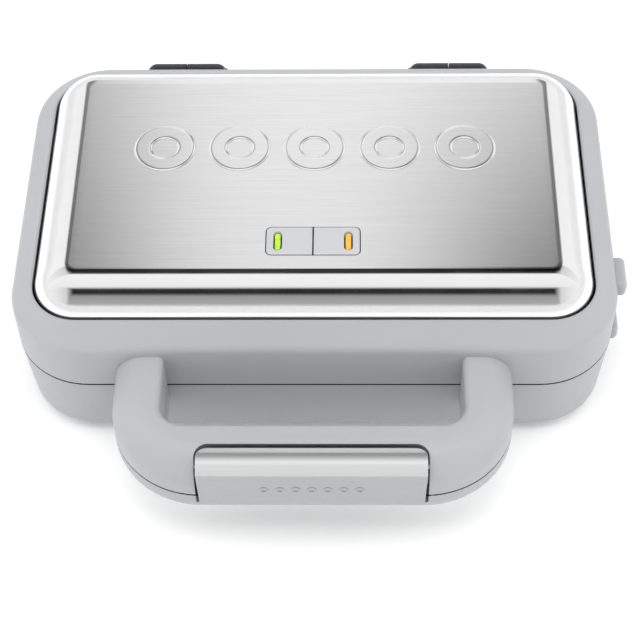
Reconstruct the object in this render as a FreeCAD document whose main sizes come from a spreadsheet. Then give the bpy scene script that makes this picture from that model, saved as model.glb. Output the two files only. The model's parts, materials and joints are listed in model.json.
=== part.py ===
"""Countertop donut maker: two moulded casings hinged at the rear, six donuts to a batch.

Millimetres. +Z up, the worktop at z = 0, X along the width, the handle towards -Y.
X = 0 is the plane of symmetry and Y = 0 the middle of the baking plates.
The lid's inner parts mirror the base's about the joint between the two casings.
"""
import FreeCAD, Part
import math
import os
import Sketcher
from FreeCAD import Rotation, Vector

DIMENSIONS = {
    # casings
    "seam_z": 41.0, "seam_half_gap": 0.5, "rim_z": 75.2, "shoulder_drop": 9.0, "shell_floor_z": 4.0,
    "shell_half_x": 136.0, "shell_front": 84.5, "shell_rear": 89.5, "shell_corner": 35.0,
    "base_taper": 2.5, "base_round": 4.5, "base_floor_inset": 2.0,
    "wall": 2.8, "shoulder_round": 6.0,
    # steel cover
    "cover_half_x": 124.0, "cover_half_y": 73.0, "cover_corner": 20.0, "cover_gap": 1.0,
    "cover_roll": 20.8, "cover_low_angle": 72.0, "cover_high_angle": 19.0, "cover_bend": 16.4,
    "sheet": 0.8, "cover_skirt": 3.0, "rim_ring": 0.9,
    # handle
    "handle_half_x": 88.0, "handle_inner_x": 65.7, "handle_front": 142.3, "handle_back": 119.0,
    "handle_corner": 40.0, "handle_inner_corner": 10.0, "handle_root": 76.0,
    "handle_top_z": 62.3, "handle_low_z": 26.5, "handle_round": 14.5, "handle_low_round": 9.0,
    "handle_inner_round": 3.0,
    "arm_pocket_left": 70.0, "arm_pocket_right": 84.0, "arm_pocket_depth": 10.0, "cap_sheet": 1.6,
    "arm_pocket_front": 118.0, "arm_pocket_rear": 88.0, "cap_inset": 0.2,
    # latch
    "latch_half_x": 49.0, "latch_front": 143.6, "latch_rear": 131.0, "latch_crease_z": 57.6,
    "latch_top_z": 61.6, "latch_low_z": 36.2, "latch_sheet": 2.2, "latch_gap": 0.9,
    "latch_corner": 5.0, "latch_bend_y": -137.5, "latch_bend_drop": 0.6, "latch_edge_round": 1.6,
    "latch_pivot_y": -136.6, "latch_pivot_z": 55.6, "latch_pin_radius": 1.2, "running_gap": 0.05,
    "pin_gap": 0.02, "pin_reach": 5.0, "pin_hole_reach": 6.0,
    "latch_lip_y": -137.6, "latch_lip_sheet": 1.6, "latch_lip_rise": 2.6,
    "catch_y": -134.3, "catch_over": 0.6, "catch_under": 0.8,
    "recess_face": 137.2, "recess_undercut": 4.6, "recess_floor_z": 50.0,
    "ear_sheet": 3.0, "ear_radius": 2.4, "ear_top_drop": 1.4,
    # plates, one donut ring each
    "plate_half_x": 122.0, "plate_half_y": 70.0, "plate_corner": 16.0, "plate_slab": 3.6,
    "plate_gap": 0.3, "donut_pitch_x": 73.0, "donut_pitch_y": 66.0, "donut_ring": 20.5,
    "donut_tube": 10.5, "plate_wall": 2.0,
    "lug_inner_x": 112.0, "lug_sheet": 2.0, "lug_foot_z": 31.0, "lug_half_y": 8.0,
    # pan, frame and element of each half
    "pan_half_x": 120.5, "pan_half_y": 68.5, "pan_corner": 14.0, "pan_floor_z": 20.0,
    "pan_flange_z": 36.2, "pan_flange": 8.0, "frame_sheet": 2.0, "frame_gap": 0.6,
    "element_radius": 3.25, "element_z": 24.4, "element_half_x": 100.0, "element_half_y": 48.0,
    "element_bend": 20.0, "element_end_bend": 10.0, "element_end_x": 12.0, "element_end_y": 64.0,
    # fasteners and posts
    "post_x": 125.3, "post_y": 56.0, "post_radius": 3.4, "shank_radius": 1.4, "hole_gap": 0.1,
    "head_radius": 2.4, "head_height": 1.5, "screw_length": 10.0, "deck_screw_length": 6.0,
    "deck_screw_x": 128.8, "deck_screw_y": 10.0,
    "deck_low_z": 62.4, "deck_sheet": 1.5,
    # indicator panel
    "panel_half_x": 20.6, "panel_front_y": -49.0, "panel_rear_y": -33.5, "panel_split": 0.3,
    "panel_proud": 0.4, "panel_depth": 5.0, "panel_corner": 1.4, "window_gap": 0.15,
    "lens_x": 15.6, "lens_half_x": 1.3, "lens_half_y": 4.7, "lens_top": 0.2, "lens_gap": 0.1,
    "board_z": 78.0, "board_sheet": 1.6, "board_margin_x": 4.0, "board_margin_y": 3.0,
    "board_post_radius": 2.5, "fit_gap": 0.1,
    # rear hinge
    "hinge_y": 97.1, "hinge_z": 52.4, "barrel_radius": 6.8, "hinge_pin_radius": 2.0,
    "hinge_inner_x": 46.0, "hinge_split_x": 66.0, "hinge_outer_x": 86.0, "hinge_gap": 0.3,
    "hinge_foot_y": 79.0, "hinge_foot_low_z": 24.0, "hinge_foot_high_z": 36.0, "slot_gap": 0.2,
    "barrel_round": 5.0, "hinge_foot_half": 5.0, "hinge_arm_inset": 0.4,
    # release buttons
    "button_y": -36.0, "button_half_y": 8.6, "button_low_z": 20.0, "button_high_z": 29.0,
    "button_tip_x": 141.6, "button_flange": 2.0, "button_flange_sheet": 1.8, "button_round": 2.5,
    "base_flange_x": 127.5, "lid_flange_x": 130.6, "bar_sheet": 3.4, "bar_low_z": 26.8,
    "bar_half_y": 5.0, "hook_inner_x": 110.2, "hook_sheet": 2.4, "tooth_reach": 2.6,
    "flange_rise": 0.6, "spring_rise": 3.1, "gate_gap": 0.5,
    "hook_top_z": 35.6, "spring_radius": 2.6, "spring_wire": 0.3, "spring_turns": 3.0,
    # feet, cord bush and electrics
    "foot_x": 104.0, "foot_front_y": -56.0, "foot_rear_y": 62.0, "foot_radius": 7.0,
    "foot_seat": 1.4, "bush_z": 21.0, "bush_radius": 6.0, "bush_bore": 3.6, "bush_collar": 8.5,
    "bush_length": 15.0, "bush_collar_sheet": 2.5, "bush_collar_inset": 0.5,
    "vent_pitch": 14.0, "vent_half_x": 2.0, "vent_half_y": 18.0, "vent_end": 1.8,
    "thermostat_radius": 8.0, "thermostat_height": 6.8, "thermostat_wing_x": 12.0,
    "thermostat_wing_y": 3.5, "thermostat_wing": 1.0, "fuse_radius": 2.0, "fuse_length": 12.0,
    "fuse_x": 30.0, "fuse_y": 8.0, "block_left": -34.0, "block_right": -10.0,
    "block_front": 52.0, "block_rear": 64.0, "way_radius": 1.6, "way_pitch": 6.0,
}


def new_document():
    """Make the document and the sheet that holds every driving dimension."""
    document = FreeCAD.newDocument("donut_maker")
    sheet = document.addObject("Spreadsheet::Sheet", "dims")
    for row, (alias, number) in enumerate(DIMENSIONS.items(), start=1):
        sheet.set(f"A{row}", alias)
        sheet.set(f"B{row}", str(number))
        sheet.setAlias(f"B{row}", alias)
    document.recompute()
    return document


doc = new_document()


def size(expression):
    """The number that an expression on the sheet gives now."""
    return float(doc.dims.evalExpression(expression))


def bind(feature, **expressions):
    """Tie a feature's properties to the sheet; x, y and z stand for its place."""
    for name, expression in expressions.items():
        path = f"Placement.Base.{name}" if name in "xyz" else name
        feature.setExpression(path, expression)
    return feature


def new_body(label):
    body = doc.addObject("PartDesign::Body", label)
    body.Label = label
    return body


def new_sketch(body, name, plane, offset):
    """An empty sketch on one of the body's own planes, moved along its normal."""
    sketch = body.newObject("Sketcher::SketchObject", f"{body.Name}_{name}")
    support = [plane_ for plane_ in body.Origin.OriginFeatures if plane_.Role == plane][0]
    sketch.AttachmentSupport = [(support, "")]
    sketch.MapMode = "FlatFace"
    sketch.setExpression("AttachmentOffset.Base.z", offset)
    return sketch


def constrain(sketch, *arguments, to=None):
    """Add a constraint, tied to an expression when it has one."""
    index = sketch.addConstraint(Sketcher.Constraint(*arguments))
    if to is not None:
        sketch.setExpression(f"Constraints[{index}]", to)


def place_point(sketch, edge, end, across, up):
    """Hold one end of an edge at the two expressions."""
    constrain(sketch, "DistanceX", edge, end, size(across), to=across)
    constrain(sketch, "DistanceY", edge, end, size(up), to=up)


def arc(centre_x, centre_y, radius, start):
    """A quarter circle, anticlockwise from the start angle in quarter turns."""
    circle = Part.Circle(Vector(centre_x, centre_y, 0), Vector(0, 0, 1), radius)
    return Part.ArcOfCircle(circle, start * math.pi / 2, (start + 1) * math.pi / 2)


def line(x1, y1, x2, y2):
    return Part.LineSegment(Vector(x1, y1, 0), Vector(x2, y2, 0))


def rounded_outline(sketch, left, right, front, rear, corner):
    """A rectangle between four expressions with equal round corners."""
    x1, x2, y1, y2 = size(left), size(right), size(front), size(rear)
    c = size(corner)
    first = sketch.GeometryCount
    sketch.addGeometry([
        line(x1 + c, y1, x2 - c, y1), arc(x2 - c, y1 + c, c, 3),
        line(x2, y1 + c, x2, y2 - c), arc(x2 - c, y2 - c, c, 0),
        line(x2 - c, y2, x1 + c, y2), arc(x1 + c, y2 - c, c, 1),
        line(x1, y2 - c, x1, y1 + c), arc(x1 + c, y1 + c, c, 2),
    ], False)
    for step in range(8):
        constrain(sketch, "Tangent", first + step, 2, first + (step + 1) % 8, 1)
    for step in (0, 4):
        constrain(sketch, "Horizontal", first + step)
    for step in (2, 6):
        constrain(sketch, "Vertical", first + step)
    for step in (3, 5, 7):
        constrain(sketch, "Equal", first + 1, first + step)
    constrain(sketch, "Radius", first + 1, c, to=corner)
    constrain(sketch, "DistanceX", first + 6, 1, x1, to=left)
    constrain(sketch, "DistanceX", first + 2, 1, x2, to=right)
    constrain(sketch, "DistanceY", first, 1, y1, to=front)
    constrain(sketch, "DistanceY", first + 4, 1, y2, to=rear)


def polygon(sketch, points):
    """A closed polygon whose corners are pairs of expressions."""
    corners = [(size(across), size(up)) for across, up in points]
    first = sketch.GeometryCount
    following = corners[1:] + corners[:1]
    sketch.addGeometry([line(*here, *there) for here, there in zip(corners, following)], False)
    count = len(points)
    for step in range(count):
        constrain(sketch, "Coincident", first + step, 2, first + (step + 1) % count, 1)
    for step, (across, up) in enumerate(points):
        place_point(sketch, first + step, 1, across, up)


def circles(sketch, centres, radius):
    """Equal circles at pairs of expressions."""
    for across, up in centres:
        index = sketch.addGeometry(
            Part.Circle(Vector(size(across), size(up), 0), Vector(0, 0, 1), size(radius)), False)
        place_point(sketch, index, 3, across, up)
        constrain(sketch, "Radius", index, size(radius), to=radius)


def pad(body, sketch, length, downwards=False):
    feature = body.newObject("PartDesign::Pad", f"{sketch.Name}_pad")
    feature.Profile = sketch
    feature.setExpression("Length", length)
    feature.Reversed = downwards
    return feature


def pad_both_ways(body, sketch, length):
    feature = pad(body, sketch, length)
    feature.SideType = "Symmetric"
    return feature


def pocket(body, sketch, length, upwards=False):
    feature = body.newObject("PartDesign::Pocket", f"{sketch.Name}_pocket")
    feature.Profile = sketch
    feature.setExpression("Length", length)
    feature.Reversed = upwards
    return feature


def loft(body, kind, sketches, straight):
    feature = body.newObject(f"PartDesign::{kind}", f"{sketches[0].Name}_loft")
    feature.Profile = sketches[0]
    feature.Sections = sketches[1:]
    feature.Ruled = straight
    return feature


def round_edges(body, feature, wanted, radius):
    """Fillet the edges of a feature that the test picks out."""
    doc.recompute()
    names = [f"Edge{i}" for i, edge in enumerate(feature.Shape.Edges, start=1) if wanted(edge)]
    rounding = body.newObject("PartDesign::Fillet", f"{feature.Name}_round")
    rounding.Base = (feature, names)
    rounding.setExpression("Radius", radius)
    return rounding


def lies_at(edge, height):
    """Whether an edge lies in the level plane at that height."""
    return abs(edge.BoundBox.ZMin - height) < 0.01 and abs(edge.BoundBox.ZMax - height) < 0.01


def box(label, left, right, front, rear, low, high):
    """A block between six expressions."""
    block = doc.addObject("Part::Box", label)
    bind(block, x=left, y=front, z=low)
    bind(block, Length=f"({right}) - ({left})", Width=f"({rear}) - ({front})",
         Height=f"({high}) - ({low})")
    return block


def rod(label, radius, x, y, z, length, axis):
    """A cylinder that starts at a point and runs along an axis."""
    cylinder = doc.addObject("Part::Cylinder", label)
    cylinder.Placement.Rotation = Rotation(Vector(0, 0, 1), axis)
    bind(cylinder, Radius=radius, Height=length, x=x, y=y, z=z)
    return cylinder


def fuse(label, pieces):
    joined = doc.addObject("Part::MultiFuse", label)
    joined.Label = label
    joined.Shapes = pieces
    return joined


def cut(label, whole, away):
    remainder = doc.addObject("Part::Cut", label)
    remainder.Label = label
    remainder.Base = whole
    remainder.Tool = away
    return remainder


def mirror_to_lid(label, source):
    """The lid's twin of a part of the base, mirrored about the joint of the casings."""
    twin = doc.addObject("Part::Mirroring", label)
    twin.Label = label
    twin.Source = source
    twin.Normal = Vector(0, 0, 1)
    twin.setExpression("Base.z", "dims.seam_z")
    return twin


SIDES = {"left": -1, "right": 1}
LID_FOOT_LOW = "dims.hinge_z - dims.hinge_foot_half"
LID_FOOT_HIGH = "dims.hinge_z + dims.hinge_foot_half"
LID_LOW = "dims.seam_z + dims.seam_half_gap"
BASE_HIGH = "dims.seam_z - dims.seam_half_gap"
CORNERS = [(across, up) for across in (-1, 1) for up in (-1, 1)]


def shell_outline(sketch, inset):
    """The casings' outline, drawn in by an expression."""
    rounded_outline(sketch, f"-dims.shell_half_x + {inset}", f"dims.shell_half_x - ({inset})",
                    f"-dims.shell_front + {inset}", f"dims.shell_rear - ({inset})",
                    f"dims.shell_corner - ({inset})")


def cover_outline(sketch, grow):
    """The steel cover's outline, let out by an expression."""
    rounded_outline(sketch, f"-dims.cover_half_x - ({grow})", f"dims.cover_half_x + {grow}",
                    f"-dims.cover_half_y - ({grow})", f"dims.cover_half_y + {grow}",
                    f"dims.cover_corner + {grow}")


def handle_outline(sketch):
    """A U with wide round corners: two arms from the casing and the bar across."""
    outer, inner = size("dims.handle_half_x"), size("dims.handle_inner_x")
    front, back, root = (-size(f"dims.handle_{part}") for part in ("front", "back", "root"))
    big, small = size("dims.handle_corner"), size("dims.handle_inner_corner")
    inner_left = Part.ArcOfCircle(
        Part.Circle(Vector(-inner + small, back + small, 0), Vector(0, 0, 1), small),
        math.pi, 1.5 * math.pi)
    inner_right = Part.ArcOfCircle(
        Part.Circle(Vector(inner - small, back + small, 0), Vector(0, 0, 1), small),
        1.5 * math.pi, 2 * math.pi)
    sketch.addGeometry([
        line(-outer, root, -outer, front + big), arc(-outer + big, front + big, big, 2),
        line(-outer + big, front, outer - big, front), arc(outer - big, front + big, big, 3),
        line(outer, front + big, outer, root), line(outer, root, inner, root),
        line(inner, root, inner, back + small), inner_right,
        line(inner - small, back, -inner + small, back), inner_left,
        line(-inner, back + small, -inner, root), line(-inner, root, -outer, root),
    ], False)
    for here, end, there, start in ((0, 2, 1, 1), (1, 2, 2, 1), (2, 2, 3, 1), (3, 2, 4, 1),
                                    (6, 2, 7, 2), (7, 1, 8, 1), (8, 2, 9, 2), (9, 1, 10, 1)):
        constrain(sketch, "Tangent", here, end, there, start)
    for here, there in ((4, 5), (5, 6), (10, 11), (11, 0)):
        constrain(sketch, "Coincident", here, 2, there, 1)
    for step in (2, 5, 8, 11):
        constrain(sketch, "Horizontal", step)
    for step in (0, 4, 6, 10):
        constrain(sketch, "Vertical", step)
    constrain(sketch, "Equal", 1, 3)
    constrain(sketch, "Equal", 7, 9)
    constrain(sketch, "Radius", 1, big, to="dims.handle_corner")
    constrain(sketch, "Radius", 7, small, to="dims.handle_inner_corner")
    place_point(sketch, 0, 1, "-dims.handle_half_x", "-dims.handle_root")
    place_point(sketch, 4, 2, "dims.handle_half_x", "-dims.handle_root")
    constrain(sketch, "DistanceX", 5, 2, inner, to="dims.handle_inner_x")
    constrain(sketch, "DistanceX", 10, 2, -inner, to="-dims.handle_inner_x")
    constrain(sketch, "DistanceY", 2, 1, front, to="-dims.handle_front")
    constrain(sketch, "DistanceY", 8, 1, back, to="-dims.handle_back")


def handle_half(body, low, high, rounded_height, outer_radius):
    """One half of the handle, its outer edge rounded more than its inner edge."""
    sketch = new_sketch(body, "handle", "XY_Plane", low)
    handle_outline(sketch)
    half = pad(body, sketch, f"({high}) - ({low})")
    level = size(rounded_height)
    inner = size("dims.handle_inner_x")
    back = -size("dims.handle_back")

    def inside(edge):
        centre = edge.CenterOfMass
        return abs(centre.x) < inner + 0.01 and centre.y > back - 0.01

    def root(edge):
        return abs(edge.BoundBox.YMax - edge.BoundBox.YMin) < 0.01 and edge.CenterOfMass.y > back + 12

    outer_round = round_edges(
        body, half, lambda e: lies_at(e, level) and not inside(e) and not root(e),
        outer_radius)
    return round_edges(
        body, outer_round, lambda e: lies_at(e, level) and inside(e) and not root(e),
        "dims.handle_inner_round")


def arm_pockets(body, start, depth, upwards):
    """The hollow in each arm of a handle half, open at the joint."""
    sketch = new_sketch(body, "arm_pockets", "XY_Plane", start)
    for sign in SIDES.values():
        near, far = sorted((f"{sign} * dims.arm_pocket_left", f"{sign} * dims.arm_pocket_right"),
                           key=size)
        rounded_outline(sketch, near, far, "-dims.arm_pocket_front", "-dims.arm_pocket_rear",
                        "dims.wall")
    pocket(body, sketch, depth, upwards)


def hinge_slots(body, near, far, low, high):
    """Openings in the rear wall that the hinge feet pass through."""
    sketch = new_sketch(body, "hinge_slots", "XY_Plane", f"{high} + dims.slot_gap")
    for sign in SIDES.values():
        left, right = sorted((f"{sign} * ({near} - dims.slot_gap)",
                              f"{sign} * ({far} + dims.slot_gap)"), key=size)
        polygon(sketch, [(left, "dims.hinge_foot_y"), (right, "dims.hinge_foot_y"),
                         (right, "dims.hinge_y"), (left, "dims.hinge_y")])
    pocket(body, sketch, f"{high} - ({low}) + 2 * dims.slot_gap")


def button_slot(body, low, high):
    """The opening in the right wall for a release button."""
    sketch = new_sketch(body, "button_slot", "XY_Plane", f"{high} + dims.slot_gap")
    polygon(sketch, [(x, f"dims.button_y {sign} (dims.button_half_y + dims.slot_gap)")
                     for x, sign in (("dims.pan_half_x", "-"), ("dims.button_tip_x", "-"),
                                     ("dims.button_tip_x", "+"), ("dims.pan_half_x", "+"))])
    pocket(body, sketch, f"{high} - ({low}) + 2 * dims.slot_gap")


def lid_casing():
    """The upper casing: a deep ring with a sloping shoulder and the handle's upper half."""
    body = new_body("lid_casing")
    handle_half(body, LID_LOW, "dims.handle_top_z", "dims.handle_top_z", "dims.handle_round")
    recess = new_sketch(body, "latch_recess", "YZ_Plane", "0")
    recess_back = "-dims.latch_rear + dims.latch_gap"
    polygon(recess, [("-dims.latch_front", f"{LID_LOW} - 1"),
                     ("-dims.recess_face", f"{LID_LOW} - 1"),
                     ("-dims.recess_face", "dims.recess_floor_z"),
                     (f"{recess_back} + dims.recess_undercut", "dims.recess_floor_z"),
                     (recess_back, "dims.handle_top_z + 1"),
                     ("-dims.latch_front", "dims.handle_top_z + 1")])
    trench = pocket(body, recess, "2 * (dims.latch_half_x + dims.latch_gap)")
    trench.SideType = "Symmetric"
    end = size("dims.latch_half_x + dims.latch_gap")
    back = size(recess_back)

    def recess_corner(edge):
        middle = edge.CenterOfMass
        upright = edge.BoundBox.ZLength > size("dims.handle_top_z - dims.recess_floor_z") - 1
        return upright and abs(abs(middle.x) - end) < 0.01 and middle.y > back - 0.01

    round_edges(body, trench, recess_corner, "dims.latch_corner + dims.latch_gap")
    pin_hole = new_sketch(body, "pin_hole", "YZ_Plane", "0")
    circles(pin_hole, [("dims.latch_pivot_y", "dims.latch_pivot_z")],
            "dims.latch_pin_radius + dims.pin_gap")
    drilled = pocket(body, pin_hole, "2 * (dims.latch_half_x + dims.pin_hole_reach)")
    drilled.SideType = "Symmetric"

    skirt = new_sketch(body, "skirt", "XY_Plane", LID_LOW)
    shell_outline(skirt, "0")
    pad(body, skirt, "dims.rim_z - dims.shoulder_drop - dims.seam_z - dims.seam_half_gap")
    low = new_sketch(body, "shoulder_low", "XY_Plane", "dims.rim_z - dims.shoulder_drop")
    shell_outline(low, "0")
    high = new_sketch(body, "shoulder_high", "XY_Plane", "dims.rim_z")
    cover_outline(high, "dims.cover_gap + dims.rim_ring")
    shoulder = loft(body, "AdditiveLoft", [low, high], straight=True)
    level = size("dims.rim_z - dims.shoulder_drop")
    round_edges(body, shoulder, lambda edge: lies_at(edge, level), "dims.shoulder_round")

    hollow = new_sketch(body, "hollow", "XY_Plane", "dims.seam_z")
    shell_outline(hollow, "dims.wall")
    pocket(body, hollow, "dims.deck_low_z + dims.deck_sheet - dims.seam_z + 0.1", upwards=True)
    mouth = new_sketch(body, "mouth", "XY_Plane", "dims.seam_z")
    cover_outline(mouth, "dims.cover_gap")
    pocket(body, mouth, "dims.rim_z - dims.seam_z + 1", upwards=True)
    arm_pockets(body, LID_LOW, "dims.arm_pocket_depth", upwards=True)
    screw_holes = new_sketch(body, "screw_holes", "XY_Plane", "dims.deck_low_z")
    circles(screw_holes, [(f"{i} * dims.deck_screw_x", f"{j} * dims.deck_screw_y")
                          for i, j in CORNERS], "dims.shank_radius + dims.hole_gap")
    pocket(body, screw_holes, "dims.deck_screw_length + 0.5", upwards=True)
    hinge_slots(body, "dims.hinge_split_x + dims.hinge_gap", "dims.hinge_outer_x",
                LID_FOOT_LOW, LID_FOOT_HIGH)
    button_slot(body, "2 * dims.seam_z - dims.button_high_z", "2 * dims.seam_z - dims.button_low_z")
    return body


def base_casing():
    """The lower casing: a tub that narrows towards the worktop, with the handle's lower half."""
    body = new_body("base_casing")
    handle_half(body, "dims.handle_low_z", BASE_HIGH, "dims.handle_low_z", "dims.handle_low_round")
    catch = new_sketch(body, "latch_catch", "YZ_Plane", "0")
    ceiling = "dims.latch_low_z + dims.latch_lip_rise + dims.catch_over"
    polygon(catch, [("-dims.latch_front - 1", f"{BASE_HIGH} + 1"),
                    ("-dims.recess_face", f"{BASE_HIGH} + 1"),
                    ("-dims.recess_face", ceiling), ("dims.catch_y", ceiling),
                    ("dims.catch_y", "dims.latch_low_z - dims.catch_under"),
                    ("-dims.latch_front - 1", "dims.latch_low_z - dims.catch_under")])
    groove = pocket(body, catch, "2 * (dims.latch_half_x + dims.latch_gap)")
    groove.SideType = "Symmetric"

    floor = new_sketch(body, "floor", "XY_Plane", "dims.shell_floor_z")
    shell_outline(floor, "dims.base_taper")
    top = new_sketch(body, "top", "XY_Plane", BASE_HIGH)
    shell_outline(top, "0")
    tub = loft(body, "AdditiveLoft", [floor, top], straight=True)
    level = size("dims.shell_floor_z")
    round_edges(body, tub, lambda edge: lies_at(edge, level), "dims.base_round")

    inner_floor = new_sketch(body, "inner_floor", "XY_Plane", "dims.shell_floor_z + dims.wall")
    shell_outline(inner_floor, "dims.base_taper + dims.wall + dims.base_floor_inset")
    inner_top = new_sketch(body, "inner_top", "XY_Plane", BASE_HIGH)
    shell_outline(inner_top, "dims.wall")
    loft(body, "SubtractiveLoft", [inner_floor, inner_top], straight=True)
    arm_pockets(body, BASE_HIGH, "dims.arm_pocket_depth - 2", upwards=False)

    posts = new_sketch(body, "posts", "XY_Plane", "dims.shell_floor_z + dims.wall - 1")
    places = [(f"{i} * dims.post_x", f"{j} * dims.post_y") for i, j in CORNERS]
    circles(posts, places, "dims.post_radius")
    pad(body, posts, "dims.pan_flange_z - 0.1 - dims.shell_floor_z - dims.wall + 1")
    drills = new_sketch(body, "post_holes", "XY_Plane", "dims.pan_flange_z")
    circles(drills, places, "dims.shank_radius + dims.hole_gap")
    pocket(body, drills, "dims.screw_length + 2")

    vents = new_sketch(body, "vents", "XY_Plane", "dims.shell_floor_z + dims.wall + 1")
    for step in (-3, -2, -1, 1, 2, 3):
        rounded_outline(vents, f"{step} * dims.vent_pitch - dims.vent_half_x",
                        f"{step} * dims.vent_pitch + dims.vent_half_x",
                        "-dims.vent_half_y", "dims.vent_half_y", "dims.vent_end")
    pocket(body, vents, "dims.wall + 2")
    seats = new_sketch(body, "foot_seats", "XY_Plane", "dims.shell_floor_z + dims.foot_seat")
    circles(seats, [(f"{i} * dims.foot_x", y) for i in (-1, 1)
                    for y in ("dims.foot_front_y", "dims.foot_rear_y")],
            "dims.foot_radius + dims.hole_gap")
    pocket(body, seats, "dims.foot_seat + 1")
    inlet = new_sketch(body, "cord_inlet", "XZ_Plane", "-dims.hinge_foot_y + 2")
    circles(inlet, [("0", "dims.bush_z")], "dims.bush_radius + dims.hole_gap")
    pocket(body, inlet, "dims.wall * 5")
    hinge_slots(body, "dims.hinge_inner_x", "dims.hinge_split_x - dims.hinge_gap",
                "dims.hinge_foot_low_z", "dims.hinge_foot_high_z")
    button_slot(body, "dims.button_low_z", "dims.button_high_z")
    return body


def cover_sections(body, name, inset):
    """Outlines up the cover's rolled side: a tight arc, then a wide bend into the flat top."""
    low, high = size("dims.cover_low_angle"), size("dims.cover_high_angle")
    roll_angles = [low + (high - low) * step / 3 for step in range(4)]
    places = [(f"dims.cover_roll * (sin(dims.cover_low_angle) - sin({angle}))",
               f"dims.cover_roll * (cos({angle}) - cos(dims.cover_low_angle))")
              for angle in roll_angles]
    roll_run, roll_rise = places[-1]
    places += [(f"{roll_run} + dims.cover_bend * (sin(dims.cover_high_angle) - sin({angle}))",
                f"{roll_rise} + dims.cover_bend * (cos({angle}) - cos(dims.cover_high_angle))")
               for angle in (high / 2, 0)]
    sketches = []
    for step, (run, rise) in enumerate(places):
        sketch = new_sketch(body, f"{name}_{step}", "XY_Plane", f"dims.rim_z + {rise} - {inset}")
        cover_outline(sketch, f"(-({run}) - {inset})")
        sketches.append(sketch)
    return sketches


def lid_cover():
    """The pressed steel top: a flat panel with deeply rolled sides and a short skirt."""
    body = new_body("lid_cover")
    skirt = new_sketch(body, "skirt", "XY_Plane", "dims.rim_z - dims.cover_skirt")
    cover_outline(skirt, "0")
    pad(body, skirt, "dims.cover_skirt")
    loft(body, "AdditiveLoft", cover_sections(body, "outside", "0"), straight=False)
    hollow = new_sketch(body, "hollow", "XY_Plane", "dims.rim_z - dims.cover_skirt")
    cover_outline(hollow, "(-dims.sheet)")
    pocket(body, hollow, "dims.cover_skirt - dims.sheet", upwards=True)
    loft(body, "SubtractiveLoft", cover_sections(body, "inside", "dims.sheet"), straight=False)
    window = new_sketch(body, "window", "XY_Plane", "dims.board_z + dims.board_sheet + 1")
    rounded_outline(window, "-dims.panel_half_x - dims.window_gap",
                    "dims.panel_half_x + dims.window_gap", "dims.panel_front_y - dims.window_gap",
                    "dims.panel_rear_y + dims.window_gap", "dims.panel_corner + dims.window_gap")
    pocket(body, window, "20", upwards=True)
    return body


ROLL_RISE = "dims.cover_roll * (cos(dims.cover_high_angle) - cos(dims.cover_low_angle))"
COVER_TOP = f"(dims.rim_z + {ROLL_RISE} + dims.cover_bend * (1 - cos(dims.cover_high_angle)))"


def indicator_panel(side, sign):
    """One half of the indicator panel, with the slot for its lamp lens."""
    body = new_body(f"indicator_panel_{side}")
    left, right = sorted((f"{sign} * dims.panel_split", f"{sign} * dims.panel_half_x"), key=size)
    face = new_sketch(body, "face", "XY_Plane", f"{COVER_TOP} + dims.panel_proud")
    rounded_outline(face, left, right, "dims.panel_front_y", "dims.panel_rear_y",
                    "dims.panel_corner")
    pad(body, face, "dims.panel_depth", downwards=True)
    slot = new_sketch(body, "slot", "XY_Plane", f"{COVER_TOP} + dims.panel_proud")
    lens_outline(slot, sign, "dims.lens_gap")
    pocket(body, slot, "dims.panel_depth")
    return body


def lens_outline(sketch, sign, grow):
    middle = "(dims.panel_front_y + dims.panel_rear_y) / 2"
    rounded_outline(sketch, f"{sign} * dims.lens_x - dims.lens_half_x - {grow}",
                    f"{sign} * dims.lens_x + dims.lens_half_x + {grow}",
                    f"{middle} - dims.lens_half_y - {grow}", f"{middle} + dims.lens_half_y + {grow}",
                    f"dims.lens_half_x + {grow} - 0.1")


def lamp_lens(label, sign):
    """A pill-shaped lens standing on the lamp board."""
    body = new_body(label)
    seat = "dims.board_z + dims.board_sheet + dims.fit_gap"
    foot = new_sketch(body, "foot", "XY_Plane", seat)
    lens_outline(foot, sign, "0")
    column = pad(body, foot, f"{COVER_TOP} + dims.panel_proud + dims.lens_top - ({seat})")
    top = size(f"{COVER_TOP} + dims.panel_proud + dims.lens_top")
    round_edges(body, column, lambda edge: lies_at(edge, top), "dims.lens_top")
    return body


def lamp_board():
    """The circuit board under the panel, on two posts that stand on the deck."""
    board = box("lamp_board_sheet", "-dims.panel_half_x - dims.board_margin_x",
                "dims.panel_half_x + dims.board_margin_x",
                "dims.panel_front_y - dims.board_margin_y", "dims.panel_rear_y + dims.board_margin_y",
                "dims.board_z", "dims.board_z + dims.board_sheet")
    posts = [rod(f"lamp_board_post_{side}", "dims.board_post_radius",
                 f"{sign} * (dims.panel_half_x + 1)",
                 "(dims.panel_front_y + dims.panel_rear_y) / 2",
                 "dims.deck_low_z + dims.deck_sheet + dims.fit_gap",
                 "dims.board_z - dims.deck_low_z - dims.deck_sheet", Vector(0, 0, 1))
             for side, sign in SIDES.items()]
    return fuse("lamp_board", [board, *posts])


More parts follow.
